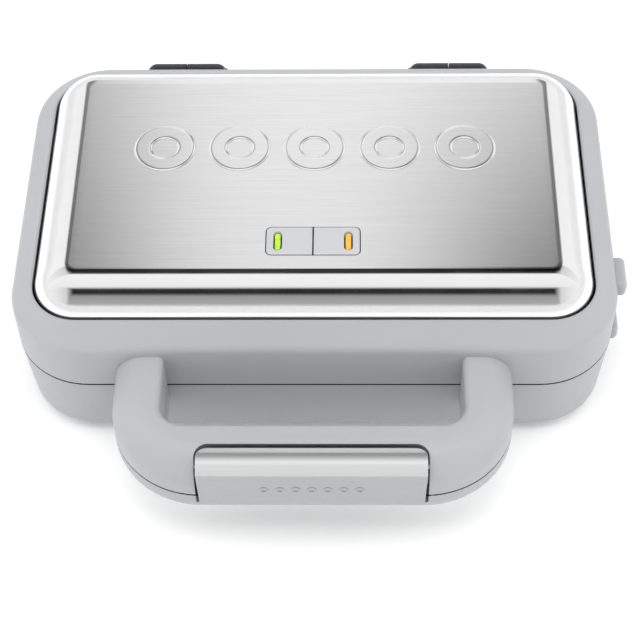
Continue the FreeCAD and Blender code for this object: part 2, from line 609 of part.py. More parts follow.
def lid_deck():
    """The inner deck that closes the lid under the steel cover and carries the pan's posts."""
    body = new_body("lid_deck")
    sheet = new_sketch(body, "sheet", "XY_Plane", "dims.deck_low_z")
    shell_outline(sheet, "dims.wall + 0.3")
    pad(body, sheet, "dims.deck_sheet")
    posts = new_sketch(body, "posts", "XY_Plane", "dims.deck_low_z + 0.5")
    places = [(f"{i} * dims.post_x", f"{j} * dims.post_y") for i, j in CORNERS]
    circles(posts, places, "dims.post_radius")
    pad(body, posts, "dims.deck_low_z + 0.4 - 2 * dims.seam_z + dims.pan_flange_z", downwards=True)
    drills = new_sketch(body, "post_holes", "XY_Plane", "2 * dims.seam_z - dims.pan_flange_z")
    circles(drills, places, "dims.shank_radius + dims.hole_gap")
    pocket(body, drills, "dims.screw_length + 2", upwards=True)
    holes = new_sketch(body, "deck_holes", "XY_Plane", "dims.deck_low_z - 1")
    circles(holes, [(f"{i} * dims.deck_screw_x", f"{j} * dims.deck_screw_y")
                    for i, j in CORNERS], "dims.shank_radius + dims.hole_gap")
    pocket(body, holes, "dims.deck_sheet + 2", upwards=True)
    return body


def frame_ring(label):
    """The flat trim between a plate and the wall of its casing."""
    body = new_body(label)
    ring = new_sketch(body, "ring", "XY_Plane", f"{BASE_HIGH} - dims.frame_sheet")
    shell_outline(ring, "dims.wall + 0.8")
    rounded_outline(ring, "-dims.plate_half_x - dims.frame_gap", "dims.plate_half_x + dims.frame_gap",
                    "-dims.plate_half_y - dims.frame_gap", "dims.plate_half_y + dims.frame_gap",
                    "dims.plate_corner + dims.frame_gap")
    pad(body, ring, "dims.frame_sheet")
    return body


def pan_outline(sketch, grow):
    rounded_outline(sketch, f"-dims.pan_half_x - ({grow})", f"dims.pan_half_x + {grow}",
                    f"-dims.pan_half_y - ({grow})", f"dims.pan_half_y + {grow}",
                    f"dims.pan_corner + {grow}")


def reflector_pan(label):
    """The bright steel pan that holds the element, with its screw flange."""
    body = new_body(label)
    outside = new_sketch(body, "outside", "XY_Plane", "dims.pan_floor_z")
    pan_outline(outside, "0")
    pad(body, outside, "dims.pan_flange_z - dims.pan_floor_z + dims.sheet")
    flange = new_sketch(body, "flange", "XY_Plane", "dims.pan_flange_z")
    pan_outline(flange, "dims.pan_flange")
    pad(body, flange, "dims.sheet")
    inside = new_sketch(body, "inside", "XY_Plane", "dims.pan_floor_z + dims.sheet")
    pan_outline(inside, "(-dims.sheet)")
    pocket(body, inside, "dims.pan_flange_z - dims.pan_floor_z + 1", upwards=True)
    holes = new_sketch(body, "holes", "XY_Plane", "dims.pan_flange_z - 1")
    circles(holes, [(f"{i} * dims.post_x", f"{j} * dims.post_y") for i, j in CORNERS],
            "dims.shank_radius + dims.hole_gap")
    pocket(body, holes, "dims.sheet + 2", upwards=True)
    gate = new_sketch(body, "hook_gate", "XY_Plane",
                      "dims.bar_low_z + dims.bar_sheet + dims.gate_gap")
    polygon(gate, [(x, f"dims.button_y {sign} (dims.bar_half_y + dims.gate_gap)")
                   for x, sign in (("dims.pan_half_x - 3", "-"), ("dims.pan_half_x + 3", "-"),
                                   ("dims.pan_half_x + 3", "+"), ("dims.pan_half_x - 3", "+"))])
    pocket(body, gate, "dims.bar_sheet + 1")
    return body


def element_path(sketch):
    """The element's loop, open at the rear where its two ends turn outwards."""
    reach, depth = size("dims.element_half_x"), size("dims.element_half_y")
    bend, turn = size("dims.element_bend"), size("dims.element_end_bend")
    end_x, end_y = size("dims.element_end_x"), size("dims.element_end_y")

    sketch.addGeometry([
        line(end_x, end_y, end_x, depth + turn), arc(end_x + turn, depth + turn, turn, 2),
        line(end_x + turn, depth, reach - bend, depth), arc(reach - bend, depth - bend, bend, 0),
        line(reach, depth - bend, reach, -depth + bend), arc(reach - bend, -depth + bend, bend, 3),
        line(reach - bend, -depth, -reach + bend, -depth),
        arc(-reach + bend, -depth + bend, bend, 2),
        line(-reach, -depth + bend, -reach, depth - bend),
        arc(-reach + bend, depth - bend, bend, 1),
        line(-reach + bend, depth, -end_x - turn, depth), arc(-end_x - turn, depth + turn, turn, 3),
        line(-end_x, depth + turn, -end_x, end_y),
    ], False)
    joints = ((0, 2, 1, 1), (1, 2, 2, 1), (2, 2, 3, 2), (3, 1, 4, 1), (4, 2, 5, 2), (5, 1, 6, 1),
              (6, 2, 7, 2), (7, 1, 8, 1), (8, 2, 9, 2), (9, 1, 10, 1), (10, 2, 11, 1), (11, 2, 12, 1))
    for here, end, there, start in joints:
        constrain(sketch, "Tangent", here, end, there, start)
    for edge in (0, 4, 8, 12):
        constrain(sketch, "Vertical", edge)
    for edge in (2, 6, 10):
        constrain(sketch, "Horizontal", edge)
    for edge in (5, 7, 9):
        constrain(sketch, "Equal", 3, edge)
    constrain(sketch, "Equal", 1, 11)
    constrain(sketch, "Radius", 3, bend, to="dims.element_bend")
    constrain(sketch, "Radius", 1, turn, to="dims.element_end_bend")
    place_point(sketch, 0, 1, "dims.element_end_x", "dims.element_end_y")
    place_point(sketch, 12, 2, "-dims.element_end_x", "dims.element_end_y")
    constrain(sketch, "DistanceX", 4, 1, reach, to="dims.element_half_x")
    constrain(sketch, "DistanceX", 8, 1, -reach, to="-dims.element_half_x")
    constrain(sketch, "DistanceY", 6, 1, -depth, to="-dims.element_half_y")
    constrain(sketch, "DistanceY", 2, 1, depth, to="dims.element_half_y")
    constrain(sketch, "DistanceY", 10, 1, depth, to="dims.element_half_y")


def heating_element(label):
    """The sheathed tube under the plate."""
    body = new_body(label)
    path = new_sketch(body, "path", "XY_Plane", "dims.element_z")
    element_path(path)
    section = new_sketch(body, "section", "XZ_Plane", "-dims.element_end_y")
    circles(section, [("dims.element_end_x", "dims.element_z")], "dims.element_radius")
    doc.recompute()
    tube = body.newObject("PartDesign::AdditivePipe", f"{label}_tube")
    tube.Profile = section
    tube.Spine = (path, [f"Edge{i}" for i in range(1, 14)])
    return body


def donut_places():
    """The middles of the six rings: three across and two deep."""
    return [(f"{i} * dims.donut_pitch_x", f"{j} * dims.donut_pitch_y / 2")
            for j in (-1, 1) for i in (-1, 0, 1)]


def torus(label, x, y, radius):
    ring = doc.addObject("Part::Torus", label)
    bind(ring, Radius1="dims.donut_ring", Radius2=radius, x=x, y=y,
         z="dims.seam_z - dims.plate_gap")
    return ring


def donut_plate(label):
    """A cast plate with six half-ring moulds and the lug that its release hook holds."""
    slab = new_body(f"{label}_slab")
    outline = new_sketch(slab, "outline", "XY_Plane", "dims.seam_z - dims.plate_gap")
    rounded_outline(outline, "-dims.plate_half_x", "dims.plate_half_x", "-dims.plate_half_y",
                    "dims.plate_half_y", "dims.plate_corner")
    pad(slab, outline, "dims.plate_slab", downwards=True)
    shells = [torus(f"{label}_shell_{n}", x, y, "dims.donut_tube + dims.plate_wall")
              for n, (x, y) in enumerate(donut_places(), start=1)]
    moulds = [torus(f"{label}_mould_{n}", x, y, "dims.donut_tube")
              for n, (x, y) in enumerate(donut_places(), start=1)]
    lug_front = "dims.button_y - dims.lug_half_y"
    lug_rear = "dims.button_y + dims.lug_half_y"
    web = box(f"{label}_lug_web", "dims.lug_inner_x + 4", "dims.lug_inner_x + 4 + dims.lug_sheet",
              lug_front, lug_rear, "dims.lug_foot_z", "dims.seam_z - dims.plate_gap - 1")
    foot = box(f"{label}_lug_foot", "dims.lug_inner_x", "dims.lug_inner_x + 4 + dims.lug_sheet",
               lug_front, lug_rear, "dims.lug_foot_z", "dims.lug_foot_z + dims.lug_sheet")
    solid = fuse(f"{label}_solid", [slab, *shells, web, foot])
    above = box(f"{label}_above", "-dims.shell_half_x", "dims.shell_half_x", "-dims.shell_front",
                "dims.shell_rear", "dims.seam_z - dims.plate_gap", "dims.rim_z")
    hollows = fuse(f"{label}_hollows", [*moulds, above])
    return cut(label, solid, hollows)


def release_button(label, flange_x):
    """A push button on a flat bar that ends in the hook over the plate's lug."""
    front, rear = "dims.button_y - dims.button_half_y", "dims.button_y + dims.button_half_y"
    head_body = new_body(f"{label}_head")
    face = new_sketch(head_body, "face", "YZ_Plane", f"{flange_x}")
    rounded_outline(face, front, rear, "dims.button_low_z", "dims.button_high_z", "dims.button_round")
    head = pad(head_body, face, f"dims.button_tip_x - ({flange_x})")
    tip = size("dims.button_tip_x")
    round_edges(head_body, head,
                lambda e: abs(e.BoundBox.XMin - tip) < 0.01 and abs(e.BoundBox.XMax - tip) < 0.01,
                "dims.button_round")
    flange = box(f"{label}_flange", f"{flange_x} - dims.button_flange_sheet", flange_x,
                 f"{front} - dims.button_flange", f"{rear} + dims.button_flange",
                 "dims.button_low_z", "dims.bar_low_z + dims.bar_sheet + dims.flange_rise")
    bar_front = "dims.button_y - dims.bar_half_y"
    bar_rear = "dims.button_y + dims.bar_half_y"
    bar = box(f"{label}_bar", "dims.hook_inner_x - dims.hook_sheet", flange_x, bar_front, bar_rear,
              "dims.bar_low_z", "dims.bar_low_z + dims.bar_sheet")
    riser = box(f"{label}_riser", "dims.hook_inner_x - dims.hook_sheet", "dims.hook_inner_x",
                bar_front, bar_rear, "dims.bar_low_z", "dims.hook_top_z")
    tooth = box(f"{label}_tooth", "dims.hook_inner_x - 1",
                "dims.lug_inner_x + dims.tooth_reach - 0.4",
                bar_front, bar_rear, "dims.lug_foot_z + dims.lug_sheet + 0.3", "dims.hook_top_z")
    return fuse(label, [head_body, flange, bar, riser, tooth])


def release_spring(label, flange_x):
    """The coil that pushes a release button out, seated against the pan."""
    spring = doc.addObject("Part::Feature", label)
    spring.Label = label
    radius = size("dims.spring_radius")
    wire_radius = size("dims.spring_wire")
    back_of_flange = size(f"{flange_x} - dims.button_flange_sheet") - 2 * wire_radius
    length = back_of_flange - size("dims.pan_half_x") - 2 * wire_radius
    helix = Part.makeHelix(length / size("dims.spring_turns"), length, radius)
    section = Part.Wire(Part.makeCircle(wire_radius, Vector(radius, 0, 0), Vector(0, 1, 0)))
    coil = Part.Wire(helix.Edges).makePipeShell([section], True, True)
    coil.rotate(Vector(0, 0, 0), Vector(0, 1, 0), -90)
    spring.Shape = coil
    spring.Placement.Base = Vector(back_of_flange, size("dims.button_y"),
                                   size("dims.button_low_z + dims.spring_rise"))
    return spring


def latch():
    """The sprung-metal clip on the handle: a curved top, a flat face and a lip at its foot."""
    body = new_body("latch")
    section = new_sketch(body, "section", "YZ_Plane", "0")
    front, rear = "-dims.latch_front", "-dims.latch_rear"
    inner_face = f"{front} + dims.latch_sheet"
    lip_top = "dims.latch_low_z + dims.latch_lip_sheet"
    polygon(section, [
        (rear, "dims.latch_top_z"), ("dims.latch_bend_y", "dims.latch_top_z - dims.latch_bend_drop"),
        (front, "dims.latch_crease_z"), (front, "dims.latch_low_z"),
        ("dims.latch_lip_y", "dims.latch_low_z"),
        ("dims.latch_lip_y", "dims.latch_low_z + dims.latch_lip_rise"),
        (f"{inner_face} + dims.latch_lip_rise", lip_top), (inner_face, lip_top),
        (inner_face, "dims.latch_crease_z - 1"),
        ("dims.latch_bend_y - 0.5", "dims.latch_top_z - dims.latch_sheet - dims.latch_bend_drop"),
        (rear, "dims.latch_top_z - dims.latch_sheet"),
    ])
    plate = pad_both_ways(body, section, "2 * dims.latch_half_x")
    front_y, rear_y, bend_y = size(front), size(rear), size("dims.latch_bend_y")
    half_x, crease_z = size("dims.latch_half_x"), size("dims.latch_crease_z")

    def long_top_edge(edge):
        middle = edge.CenterOfMass
        at_crease = abs(middle.y - front_y) < 0.01 and middle.z > crease_z - 0.01
        at_bend = abs(middle.y - bend_y) < 0.01 and middle.z > crease_z
        return edge.BoundBox.XLength > half_x and (at_crease or at_bend)

    def rear_corner(edge):
        middle = edge.CenterOfMass
        upright = edge.BoundBox.XLength < 0.01 and edge.BoundBox.YLength < 0.01
        return upright and abs(middle.y - rear_y) < 0.01

    creased = round_edges(body, plate, long_top_edge, "dims.latch_edge_round")
    round_edges(body, creased, rear_corner, "dims.latch_corner")
    ears = new_sketch(body, "ears", "YZ_Plane", "dims.latch_half_x - dims.ear_sheet")
    other_ears = new_sketch(body, "other_ears", "YZ_Plane", "-dims.latch_half_x")
    ear_back, ear_top = "dims.latch_pivot_y + dims.ear_radius", "dims.latch_top_z - dims.ear_top_drop"
    ear_low = "dims.latch_pivot_z - dims.ear_radius"
    for sketch in (ears, other_ears):
        polygon(sketch, [(f"{front} + 1", "dims.latch_crease_z - 1"),
                         (f"{front} + 1", f"{ear_low} - 1"), (ear_back, ear_low),
                         (ear_back, ear_top), ("dims.latch_pivot_y", ear_top)])
        pad(body, sketch, "dims.ear_sheet")
    bore = new_sketch(body, "bore", "YZ_Plane", "0")
    circles(bore, [("dims.latch_pivot_y", "dims.latch_pivot_z")],
            "dims.latch_pin_radius + dims.running_gap")
    drilled = pocket(body, bore, "2 * dims.latch_half_x + 2")
    drilled.SideType = "Symmetric"
    return body


def latch_pin():
    pin = rod("latch_pin", "dims.latch_pin_radius", "-dims.latch_half_x - dims.pin_reach",
              "dims.latch_pivot_y", "dims.latch_pivot_z",
              "2 * (dims.latch_half_x + dims.pin_reach)", Vector(1, 0, 0))
    pin.Label = "latch_pin"
    return pin


def handle_cap(side, sign):
    """The plate that closes the hollow of one lower arm."""
    body = new_body(f"lower_handle_cap_{side}")
    near, far = sorted((f"{sign} * (dims.arm_pocket_left + dims.cap_inset)",
                        f"{sign} * (dims.arm_pocket_right - dims.cap_inset)"), key=size)
    sheet = new_sketch(body, "sheet", "XY_Plane", BASE_HIGH)
    rounded_outline(sheet, near, far, "-dims.arm_pocket_front + dims.cap_inset",
                    "-dims.arm_pocket_rear - dims.cap_inset", "dims.wall - dims.cap_inset")
    pad(body, sheet, "dims.cap_sheet", downwards=True)
    return body


def hinge_knuckle(label, sign, near, far, foot_low, foot_high, bore_gap):
    """A hinge half: the barrel, its foot through the wall and, on the base, an arm between."""
    left, right = sorted((f"{sign} * ({near})", f"{sign} * ({far})"), key=size)
    blank = rod(f"{label}_blank", "dims.barrel_radius", left, "dims.hinge_y", "dims.hinge_z",
                f"{right} - ({left})", Vector(1, 0, 0))
    doc.recompute()
    open_end = size(near) if "inner_x" in near else size(far)
    barrel = doc.addObject("Part::Fillet", f"{label}_barrel")
    barrel.Base = blank
    radius = size("dims.barrel_round")
    barrel.Edges = [(number, radius, radius)
                    for number, edge in enumerate(blank.Shape.Edges, start=1)
                    if edge.BoundBox.XLength < 0.01
                    and abs(abs(edge.CenterOfMass.x) - open_end) < 0.01]
    foot = box(f"{label}_foot", left, right, "dims.hinge_foot_y", "dims.hinge_y",
               foot_low, foot_high)
    pieces = [barrel, foot]
    if foot_high != LID_FOOT_HIGH:
        reach = "dims.barrel_radius - dims.hinge_arm_inset"
        pieces.append(box(f"{label}_arm", left, right, f"dims.hinge_y - ({reach})",
                          f"dims.hinge_y + {reach}", foot_low, "dims.hinge_z"))
    whole = fuse(f"{label}_whole", pieces)
    bore = rod(f"{label}_bore", f"dims.hinge_pin_radius + {bore_gap}", f"{left} - 1", "dims.hinge_y",
               "dims.hinge_z", f"{right} - ({left}) + 2", Vector(1, 0, 0))
    return cut(label, whole, bore)


def hinge_parts():
    pieces = []
    for side, sign in SIDES.items():
        pieces.append(hinge_knuckle(
            f"base_hinge_knuckle_{side}", sign, "dims.hinge_inner_x",
            "dims.hinge_split_x - dims.hinge_gap", "dims.hinge_foot_low_z",
            "dims.hinge_foot_high_z", "0"))
        pieces.append(hinge_knuckle(
            f"lid_hinge_knuckle_{side}", sign, "dims.hinge_split_x + dims.hinge_gap",
            "dims.hinge_outer_x", LID_FOOT_LOW, LID_FOOT_HIGH, "dims.running_gap"))
        start = f"{sign} * (dims.hinge_inner_x + 1)" if sign > 0 else "-dims.hinge_outer_x + 1"
        pin = rod(f"hinge_pin_{side}", "dims.hinge_pin_radius", start, "dims.hinge_y",
                  "dims.hinge_z", "dims.hinge_outer_x - dims.hinge_inner_x - 2", Vector(1, 0, 0))
        pin.Label = f"hinge_pin_{side}"
        pieces.append(pin)
    return pieces


def screws(label, places, seat, length, upwards):
    """Pan-head screws as one group; upwards says which way their points face."""
    way = 1 if upwards else -1
    pieces = []
    for number, (x, y) in enumerate(places, start=1):
        shank = rod(f"{label}_shank_{number}", "dims.shank_radius", x, y, seat,
                    length, Vector(0, 0, way))
        head = rod(f"{label}_head_{number}", "dims.head_radius", x, y, seat,
                   "dims.head_height", Vector(0, 0, -way))
        pieces.append(fuse(f"{label}_{number}", [shank, head]))
    group = doc.addObject("Part::Compound", label)
    group.Label = label
    group.Links = pieces
    return group


def rubber_foot(number, x, y):
    foot = doc.addObject("Part::Cone", f"foot_{number}")
    foot.Label = f"foot_{number}"
    bind(foot, Radius1="dims.foot_radius - 1", Radius2="dims.foot_radius",
         Height="dims.shell_floor_z + dims.foot_seat", x=x, y=y, z="0")
    return foot


def cord_bush():
    """The bush in the rear wall that the supply cord comes out of."""
    rear = "dims.shell_rear - dims.bush_collar_inset"
    tube = rod("cord_bush_tube", "dims.bush_radius", "0", f"{rear} - dims.bush_length + 3",
               "dims.bush_z", "dims.bush_length", Vector(0, 1, 0))
    collar = rod("cord_bush_collar", "dims.bush_collar", "0", rear, "dims.bush_z",
                 "dims.bush_collar_sheet", Vector(0, 1, 0))
    bore = rod("cord_bush_bore", "dims.bush_bore", "0", f"{rear} - dims.bush_length",
               "dims.bush_z", "dims.bush_length * 2", Vector(0, 1, 0))
    return cut("cord_bush", fuse("cord_bush_body", [tube, collar]), bore)


def electrics():
    """Thermostat, fuse and terminal block on the floor of the base."""
    floor = "dims.shell_floor_z + dims.wall + 0.2"
    disc = rod("thermostat_disc", "dims.thermostat_radius", "0", "0",
               "dims.pan_floor_z - dims.thermostat_height - 0.2", "dims.thermostat_height",
               Vector(0, 0, 1))
    flange = box("thermostat_flange", "-dims.thermostat_wing_x", "dims.thermostat_wing_x",
                 "-dims.thermostat_wing_y", "dims.thermostat_wing_y",
                 "dims.pan_floor_z - dims.thermostat_wing - 0.2", "dims.pan_floor_z - 0.2")
    thermostat = fuse("thermostat", [disc, flange])
    fuse_body = rod("thermal_fuse", "dims.fuse_radius", "dims.fuse_x", "dims.fuse_y",
                    "dims.pan_floor_z - dims.fuse_radius - 0.4", "dims.fuse_length",
                    Vector(1, 0, 0))
    fuse_body.Label = "thermal_fuse"
    block = box("terminal_block_body", "dims.block_left", "dims.block_right", "dims.block_front",
                "dims.block_rear", floor, "dims.pan_floor_z - 2")
    ways = [rod(f"terminal_way_{n}", "dims.way_radius", f"dims.block_left + {n} * dims.way_pitch",
                "dims.block_front - 2", "dims.pan_floor_z - 6",
                "dims.block_rear - dims.block_front + 4", Vector(0, 1, 0)) for n in (1, 2, 3)]
    return [thermostat, fuse_body, cut("terminal_block", block, fuse("terminal_ways", ways))]


def build():
    """Every sub-part in the order in which the maker goes together."""
    pan = reflector_pan("base_reflector")
    element = heating_element("lower_element")
    plate = donut_plate("lower_plate")
    frame = frame_ring("base_frame")
    caps = {side: handle_cap(side, sign) for side, sign in SIDES.items()}
    upper_button = release_button("upper_release_source", "dims.lid_flange_x")
    upper_spring = release_spring("upper_spring_source", "dims.lid_flange_x")
    posts = [(f"{i} * dims.post_x", f"{j} * dims.post_y") for i, j in CORNERS]
    base_screws = screws("base_screws", posts, "dims.pan_flange_z + dims.sheet",
                         "dims.screw_length", upwards=False)
    deck_places = [(f"{i} * dims.deck_screw_x", f"{j} * dims.deck_screw_y") for i, j in CORNERS]
    parts = [
        base_casing(), pan, element, plate, frame, *caps.values(), base_screws,
        release_button("lower_release_button", "dims.base_flange_x"),
        release_spring("lower_release_spring", "dims.base_flange_x"),
        cord_bush(), *electrics(), *hinge_parts(),
        lid_casing(), lid_cover(), lid_deck(), lamp_board(),
        lamp_lens("power_lens", -1), lamp_lens("ready_lens", 1),
        *[indicator_panel(side, sign) for side, sign in SIDES.items()],
        screws("deck_screws", deck_places, "dims.deck_low_z", "dims.deck_screw_length",
               upwards=True),
        mirror_to_lid("lid_reflector", pan), mirror_to_lid("upper_element", element),
        mirror_to_lid("upper_plate", plate), mirror_to_lid("lid_frame", frame),
        mirror_to_lid("lid_pan_screws", base_screws),
        *[mirror_to_lid(f"upper_handle_cap_{side}", cap) for side, cap in caps.items()],
        mirror_to_lid("upper_release_button", upper_button),
        mirror_to_lid("upper_release_spring", upper_spring),
        latch(), latch_pin(),
    ]
    feet = [(f"{i} * dims.foot_x", y) for y in ("dims.foot_front_y", "dims.foot_rear_y")
            for i in (-1, 1)]
    parts += [rubber_foot(number, x, y) for number, (x, y) in enumerate(feet, start=1)]
    return parts


def check(parts):
    """Stop before anything is written if a feature or a sub-part has failed."""
    for feature in doc.Objects:
        if {"Invalid", "Error"} & set(feature.State):
            raise RuntimeError(f"{feature.Label} failed: {feature.State}")
    for part in parts:
        if part.Shape.isNull() or not part.Shape.isValid() or not part.Shape.Solids:
            raise RuntimeError(f"{part.Label} has no valid solid")


def main():
    parts = build()
    doc.recompute()
    check(parts)
    os.makedirs("parts", exist_ok=True)
    for part in parts:
        part.Shape.exportStep(os.path.join("parts", f"{part.Label}.step"))
        print(part.Label, len(part.Shape.Solids), round(part.Shape.Volume / 1000, 2), "cm3")


main()
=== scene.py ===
"""The finished look of a countertop donut maker, laid out as an add-on and run as a script.

Metres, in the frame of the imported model: +Z up, the worktop at z = 0, the handle towards -Y.
"""

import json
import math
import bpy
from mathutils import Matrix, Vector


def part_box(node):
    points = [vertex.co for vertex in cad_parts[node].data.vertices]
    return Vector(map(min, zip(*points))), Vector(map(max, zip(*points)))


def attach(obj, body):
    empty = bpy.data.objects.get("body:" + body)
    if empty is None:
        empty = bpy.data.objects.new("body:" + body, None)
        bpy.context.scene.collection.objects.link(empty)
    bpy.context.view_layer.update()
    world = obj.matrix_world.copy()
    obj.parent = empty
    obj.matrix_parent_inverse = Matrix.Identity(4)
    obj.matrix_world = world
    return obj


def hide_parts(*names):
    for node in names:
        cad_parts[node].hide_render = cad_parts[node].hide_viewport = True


bl_info = {
    "name": "Donut Maker Looks",
    "version": (1, 0, 0),
    "blender": (4, 5, 0),
    "location": "View3D > Sidebar > Donut Maker",
    "description": "Builds the steel top, latch clip, lamps and finishes of a donut maker",
    "category": "Object",
}

import bpy
import numpy as np
from bpy.props import FloatProperty, FloatVectorProperty, IntProperty, PointerProperty
from mathutils import Matrix, Vector

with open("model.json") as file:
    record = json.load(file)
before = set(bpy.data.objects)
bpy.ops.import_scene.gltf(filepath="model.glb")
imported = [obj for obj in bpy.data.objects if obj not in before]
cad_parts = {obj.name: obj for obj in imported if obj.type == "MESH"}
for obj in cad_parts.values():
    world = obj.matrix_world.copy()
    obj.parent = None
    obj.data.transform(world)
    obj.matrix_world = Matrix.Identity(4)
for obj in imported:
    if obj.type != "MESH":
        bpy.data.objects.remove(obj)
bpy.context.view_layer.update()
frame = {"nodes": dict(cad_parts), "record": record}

SIDES = {"left": -1, "right": 1}

# How finely loops and sections are divided
CORNER_STEPS = 14
TOP_SIDE_POINTS = 60
ROLL_ROWS, BEND_ROWS, FLAT_ROWS = 28, 16, 30
RING_POINTS = 96
LATCH_TOP_POINTS, LATCH_FACE_POINTS, LATCH_CORNER_COLUMNS, LATCH_COLUMNS = 26, 14, 14, 50

# The steel top: the gap round its window, its tightest corner and its turned-down edges
WINDOW_GAP, WINDOW_DEPTH = 0.00045, 0.0012
LEAST_CORNER = 0.0006
SKIRT_TURN = 0.0006

# An embossed ring: the share of its width in each bank, and how far its foot sinks in
RING_BANK = 0.16
RING_SINK = 0.00004

# The near-black bead of painted shadow in the gap round the steel top, where there is only shade:
# its depth below the rim, height and two offsets outwards
BEAD_DEPTH, BEAD_HEIGHT = 0.0024, 0.0008
BEAD_INNER, BEAD_OUTER = 0.00005, 0.00095

# The painted shadow strips in the joint of the casings, where there is only shade: their heights,
# how far they stand in, and their thickness
JOINT_LOW, JOINT_HIGH = 0.04045, 0.04145
JOINT_INSET = 0.00025
RIBBON_THICKNESS = 0.0003

# Plan of the casings and of the handle at the joint
SHELL_HALF_X, SHELL_FRONT, SHELL_REAR, SHELL_CORNER = 0.136, -0.0845, 0.0895, 0.035
HANDLE_HALF_X, HANDLE_FRONT, HANDLE_CORNER = 0.088, -0.1423, 0.040
GRIP_HALF_X, GRIP_CORNER_Y, GRIP_CORNER = 0.0657, -0.109, 0.010
LATCH_RECESS_HALF_X = 0.0508

# The latch's top: shares of its length, and its slope there in degrees
LATCH_REACH = (0.0, 0.18, 0.26, 0.50, 0.62, 1.0)
LATCH_SLOPE = (-6.0, -4.0, 5.0, 14.0, 24.0, 25.0)
# How far the latch's line stays inside its box, its turned-in foot and its narrowing
LATCH_REAR_INSET, LATCH_CREASE_INSET = 0.0003, 0.0001
LATCH_FOOT_INSET, LATCH_FOOT_LIFT = 0.0003, 0.0002
FOOT_TURN, FOOT_REACH, FOOT_DROP = 0.0012, 0.0060, 0.0001
LATCH_TAPER = 0.012
LATCH_RING = {"band": 0.0011, "rise": 0.0003, "radius": 0.0016}
LATCH_RING_COUNT, LATCH_RING_PITCH, LATCH_RING_INSET = 7, 0.0068, 0.0002

# The lamp panel: corners, rounded edge, depth of its side, and steps of the lens slot
PANEL_INNER_CORNER, PANEL_LEAST_CORNER = 0.0004, 0.0001
PANEL_EDGE, PANEL_SIDE = 0.0003, 0.004
SLOT_RIM, SLOT_STEP, SLOT_WALL = 0.0008, 0.0006, 0.00055
SLOT_STEP_DEPTH, SLOT_DEPTH = 0.0003, 0.0035
PILL_ROUND = 0.995
# The dark piece of painted shadow under the panel's window gap: its outer and inner offsets, and
# the depths of its top and foot
PANEL_SHADOW_OUT, PANEL_SHADOW_IN, PANEL_SHADOW_TOP, PANEL_SHADOW_FOOT = 0.0004, -0.0010, 0.0007, 0.0016

# A lens: where its dome starts below its top, the dome's height and how far it draws in
LENS_SHOULDER, LENS_DOME, LENS_DRAW = 0.0012, 0.0007, 0.9

# The floor: its middle hole, flat reach, cove radius and the cove's angle in radians
FLOOR_HOLE, FLOOR_REACH, COVE_RADIUS, COVE_ANGLE = 0.02, 1.2, 1.0, 1.2


# ---------------------------------------------------------------- sizes and colours


def length(name, description, default):
    return FloatProperty(name=name, description=description, default=default, unit="LENGTH",
                         precision=5)


def turn(name, description, degrees):
    return FloatProperty(name=name, description=description, default=math.radians(degrees),
                         unit="ROTATION")


def amount(name, description, default):
    return FloatProperty(name=name, description=description, default=default, min=0.0)


def colour(name, description, default):
    return FloatVectorProperty(name=name, description=description, default=default, size=3,
                               subtype="COLOR", min=0.0, max=1.0)


class DonutMakerSizes(bpy.types.PropertyGroup):
    """Sizes of the pieces that are made here"""
    roll_radius: length("Roll radius", "Radius of the steel top's rolled side", 0.0212)
    roll_high_angle: turn("Roll start", "Slope where the roll leaves the flat panel", 19)
    roll_low_angle: turn("Roll end", "Slope where the roll reaches the casing", 72)
    crease_radius: length("Crease radius", "Radius of the soft bend round the flat panel", 0.0120)
    top_corner: length("Top corner", "Corner radius of the steel top in plan", 0.020)
    sheet: length("Sheet", "Thickness of the steel", 0.0008)
    ring_radius: length("Ring radius", "Middle radius of an embossed ring", 0.0100)
    ring_band: length("Ring band", "Width of an embossed ring", 0.0088)
    ring_rise: length("Ring rise", "Height of an embossed ring", 0.00045)
    ring_pitch: length("Ring pitch", "Distance between embossed rings", 0.0345)
    ring_y: length("Ring row", "Middle of the row of rings behind the plates' middle", 0.0145)
    ring_count: IntProperty(name="Rings", description="Embossed rings in the row", default=5)
    latch_corner: length("Latch corner", "Radius of the latch's two rear corners", 0.0050)
    latch_crease: length("Latch crease", "Drop from the latch's rear edge to its crease", 0.0034)
    latch_sheet: length("Latch sheet", "Thickness of the latch's metal", 0.0014)
    panel_corner: length("Panel corner", "Radius of the lamp panel's outer corners", 0.0024)


class DonutMakerColours(bpy.types.PropertyGroup):
    """Colours and finishes"""
    casing: colour("Casing", "Moulded casings and handle", (0.372, 0.378, 0.394))
    steel: colour("Steel", "Steel top", (0.810, 0.810, 0.812))
    latch: colour("Latch", "Top of the latch clip", (0.880, 0.884, 0.890))
    # The latch's face is the same steel as its top; this darker copy is painted shade on the
    # front face.
    shaded_latch_face: colour("Latch face", "Front of the latch clip", (0.395, 0.400, 0.405))
    panel: colour("Panel", "Lamp panel", (0.480, 0.492, 0.512))
    green: colour("Green lamp", "Power lamp", (0.420, 0.700, 0.030))
    amber: colour("Amber lamp", "Ready lamp", (1.000, 0.420, 0.030))
    coating: colour("Plate coating", "Non-stick coating", (0.700, 0.665, 0.590))
    dark: colour("Dark plastic", "Hinges and plate frames", (0.020, 0.020, 0.022))
    casing_gloss: amount("Casing roughness", "Roughness of the casings", 0.42)
    steel_gloss: amount("Steel roughness", "Roughness of the brushed panel", 0.15)
    polish_gloss: amount("Polished roughness", "Roughness of the rolled sides", 0.075)


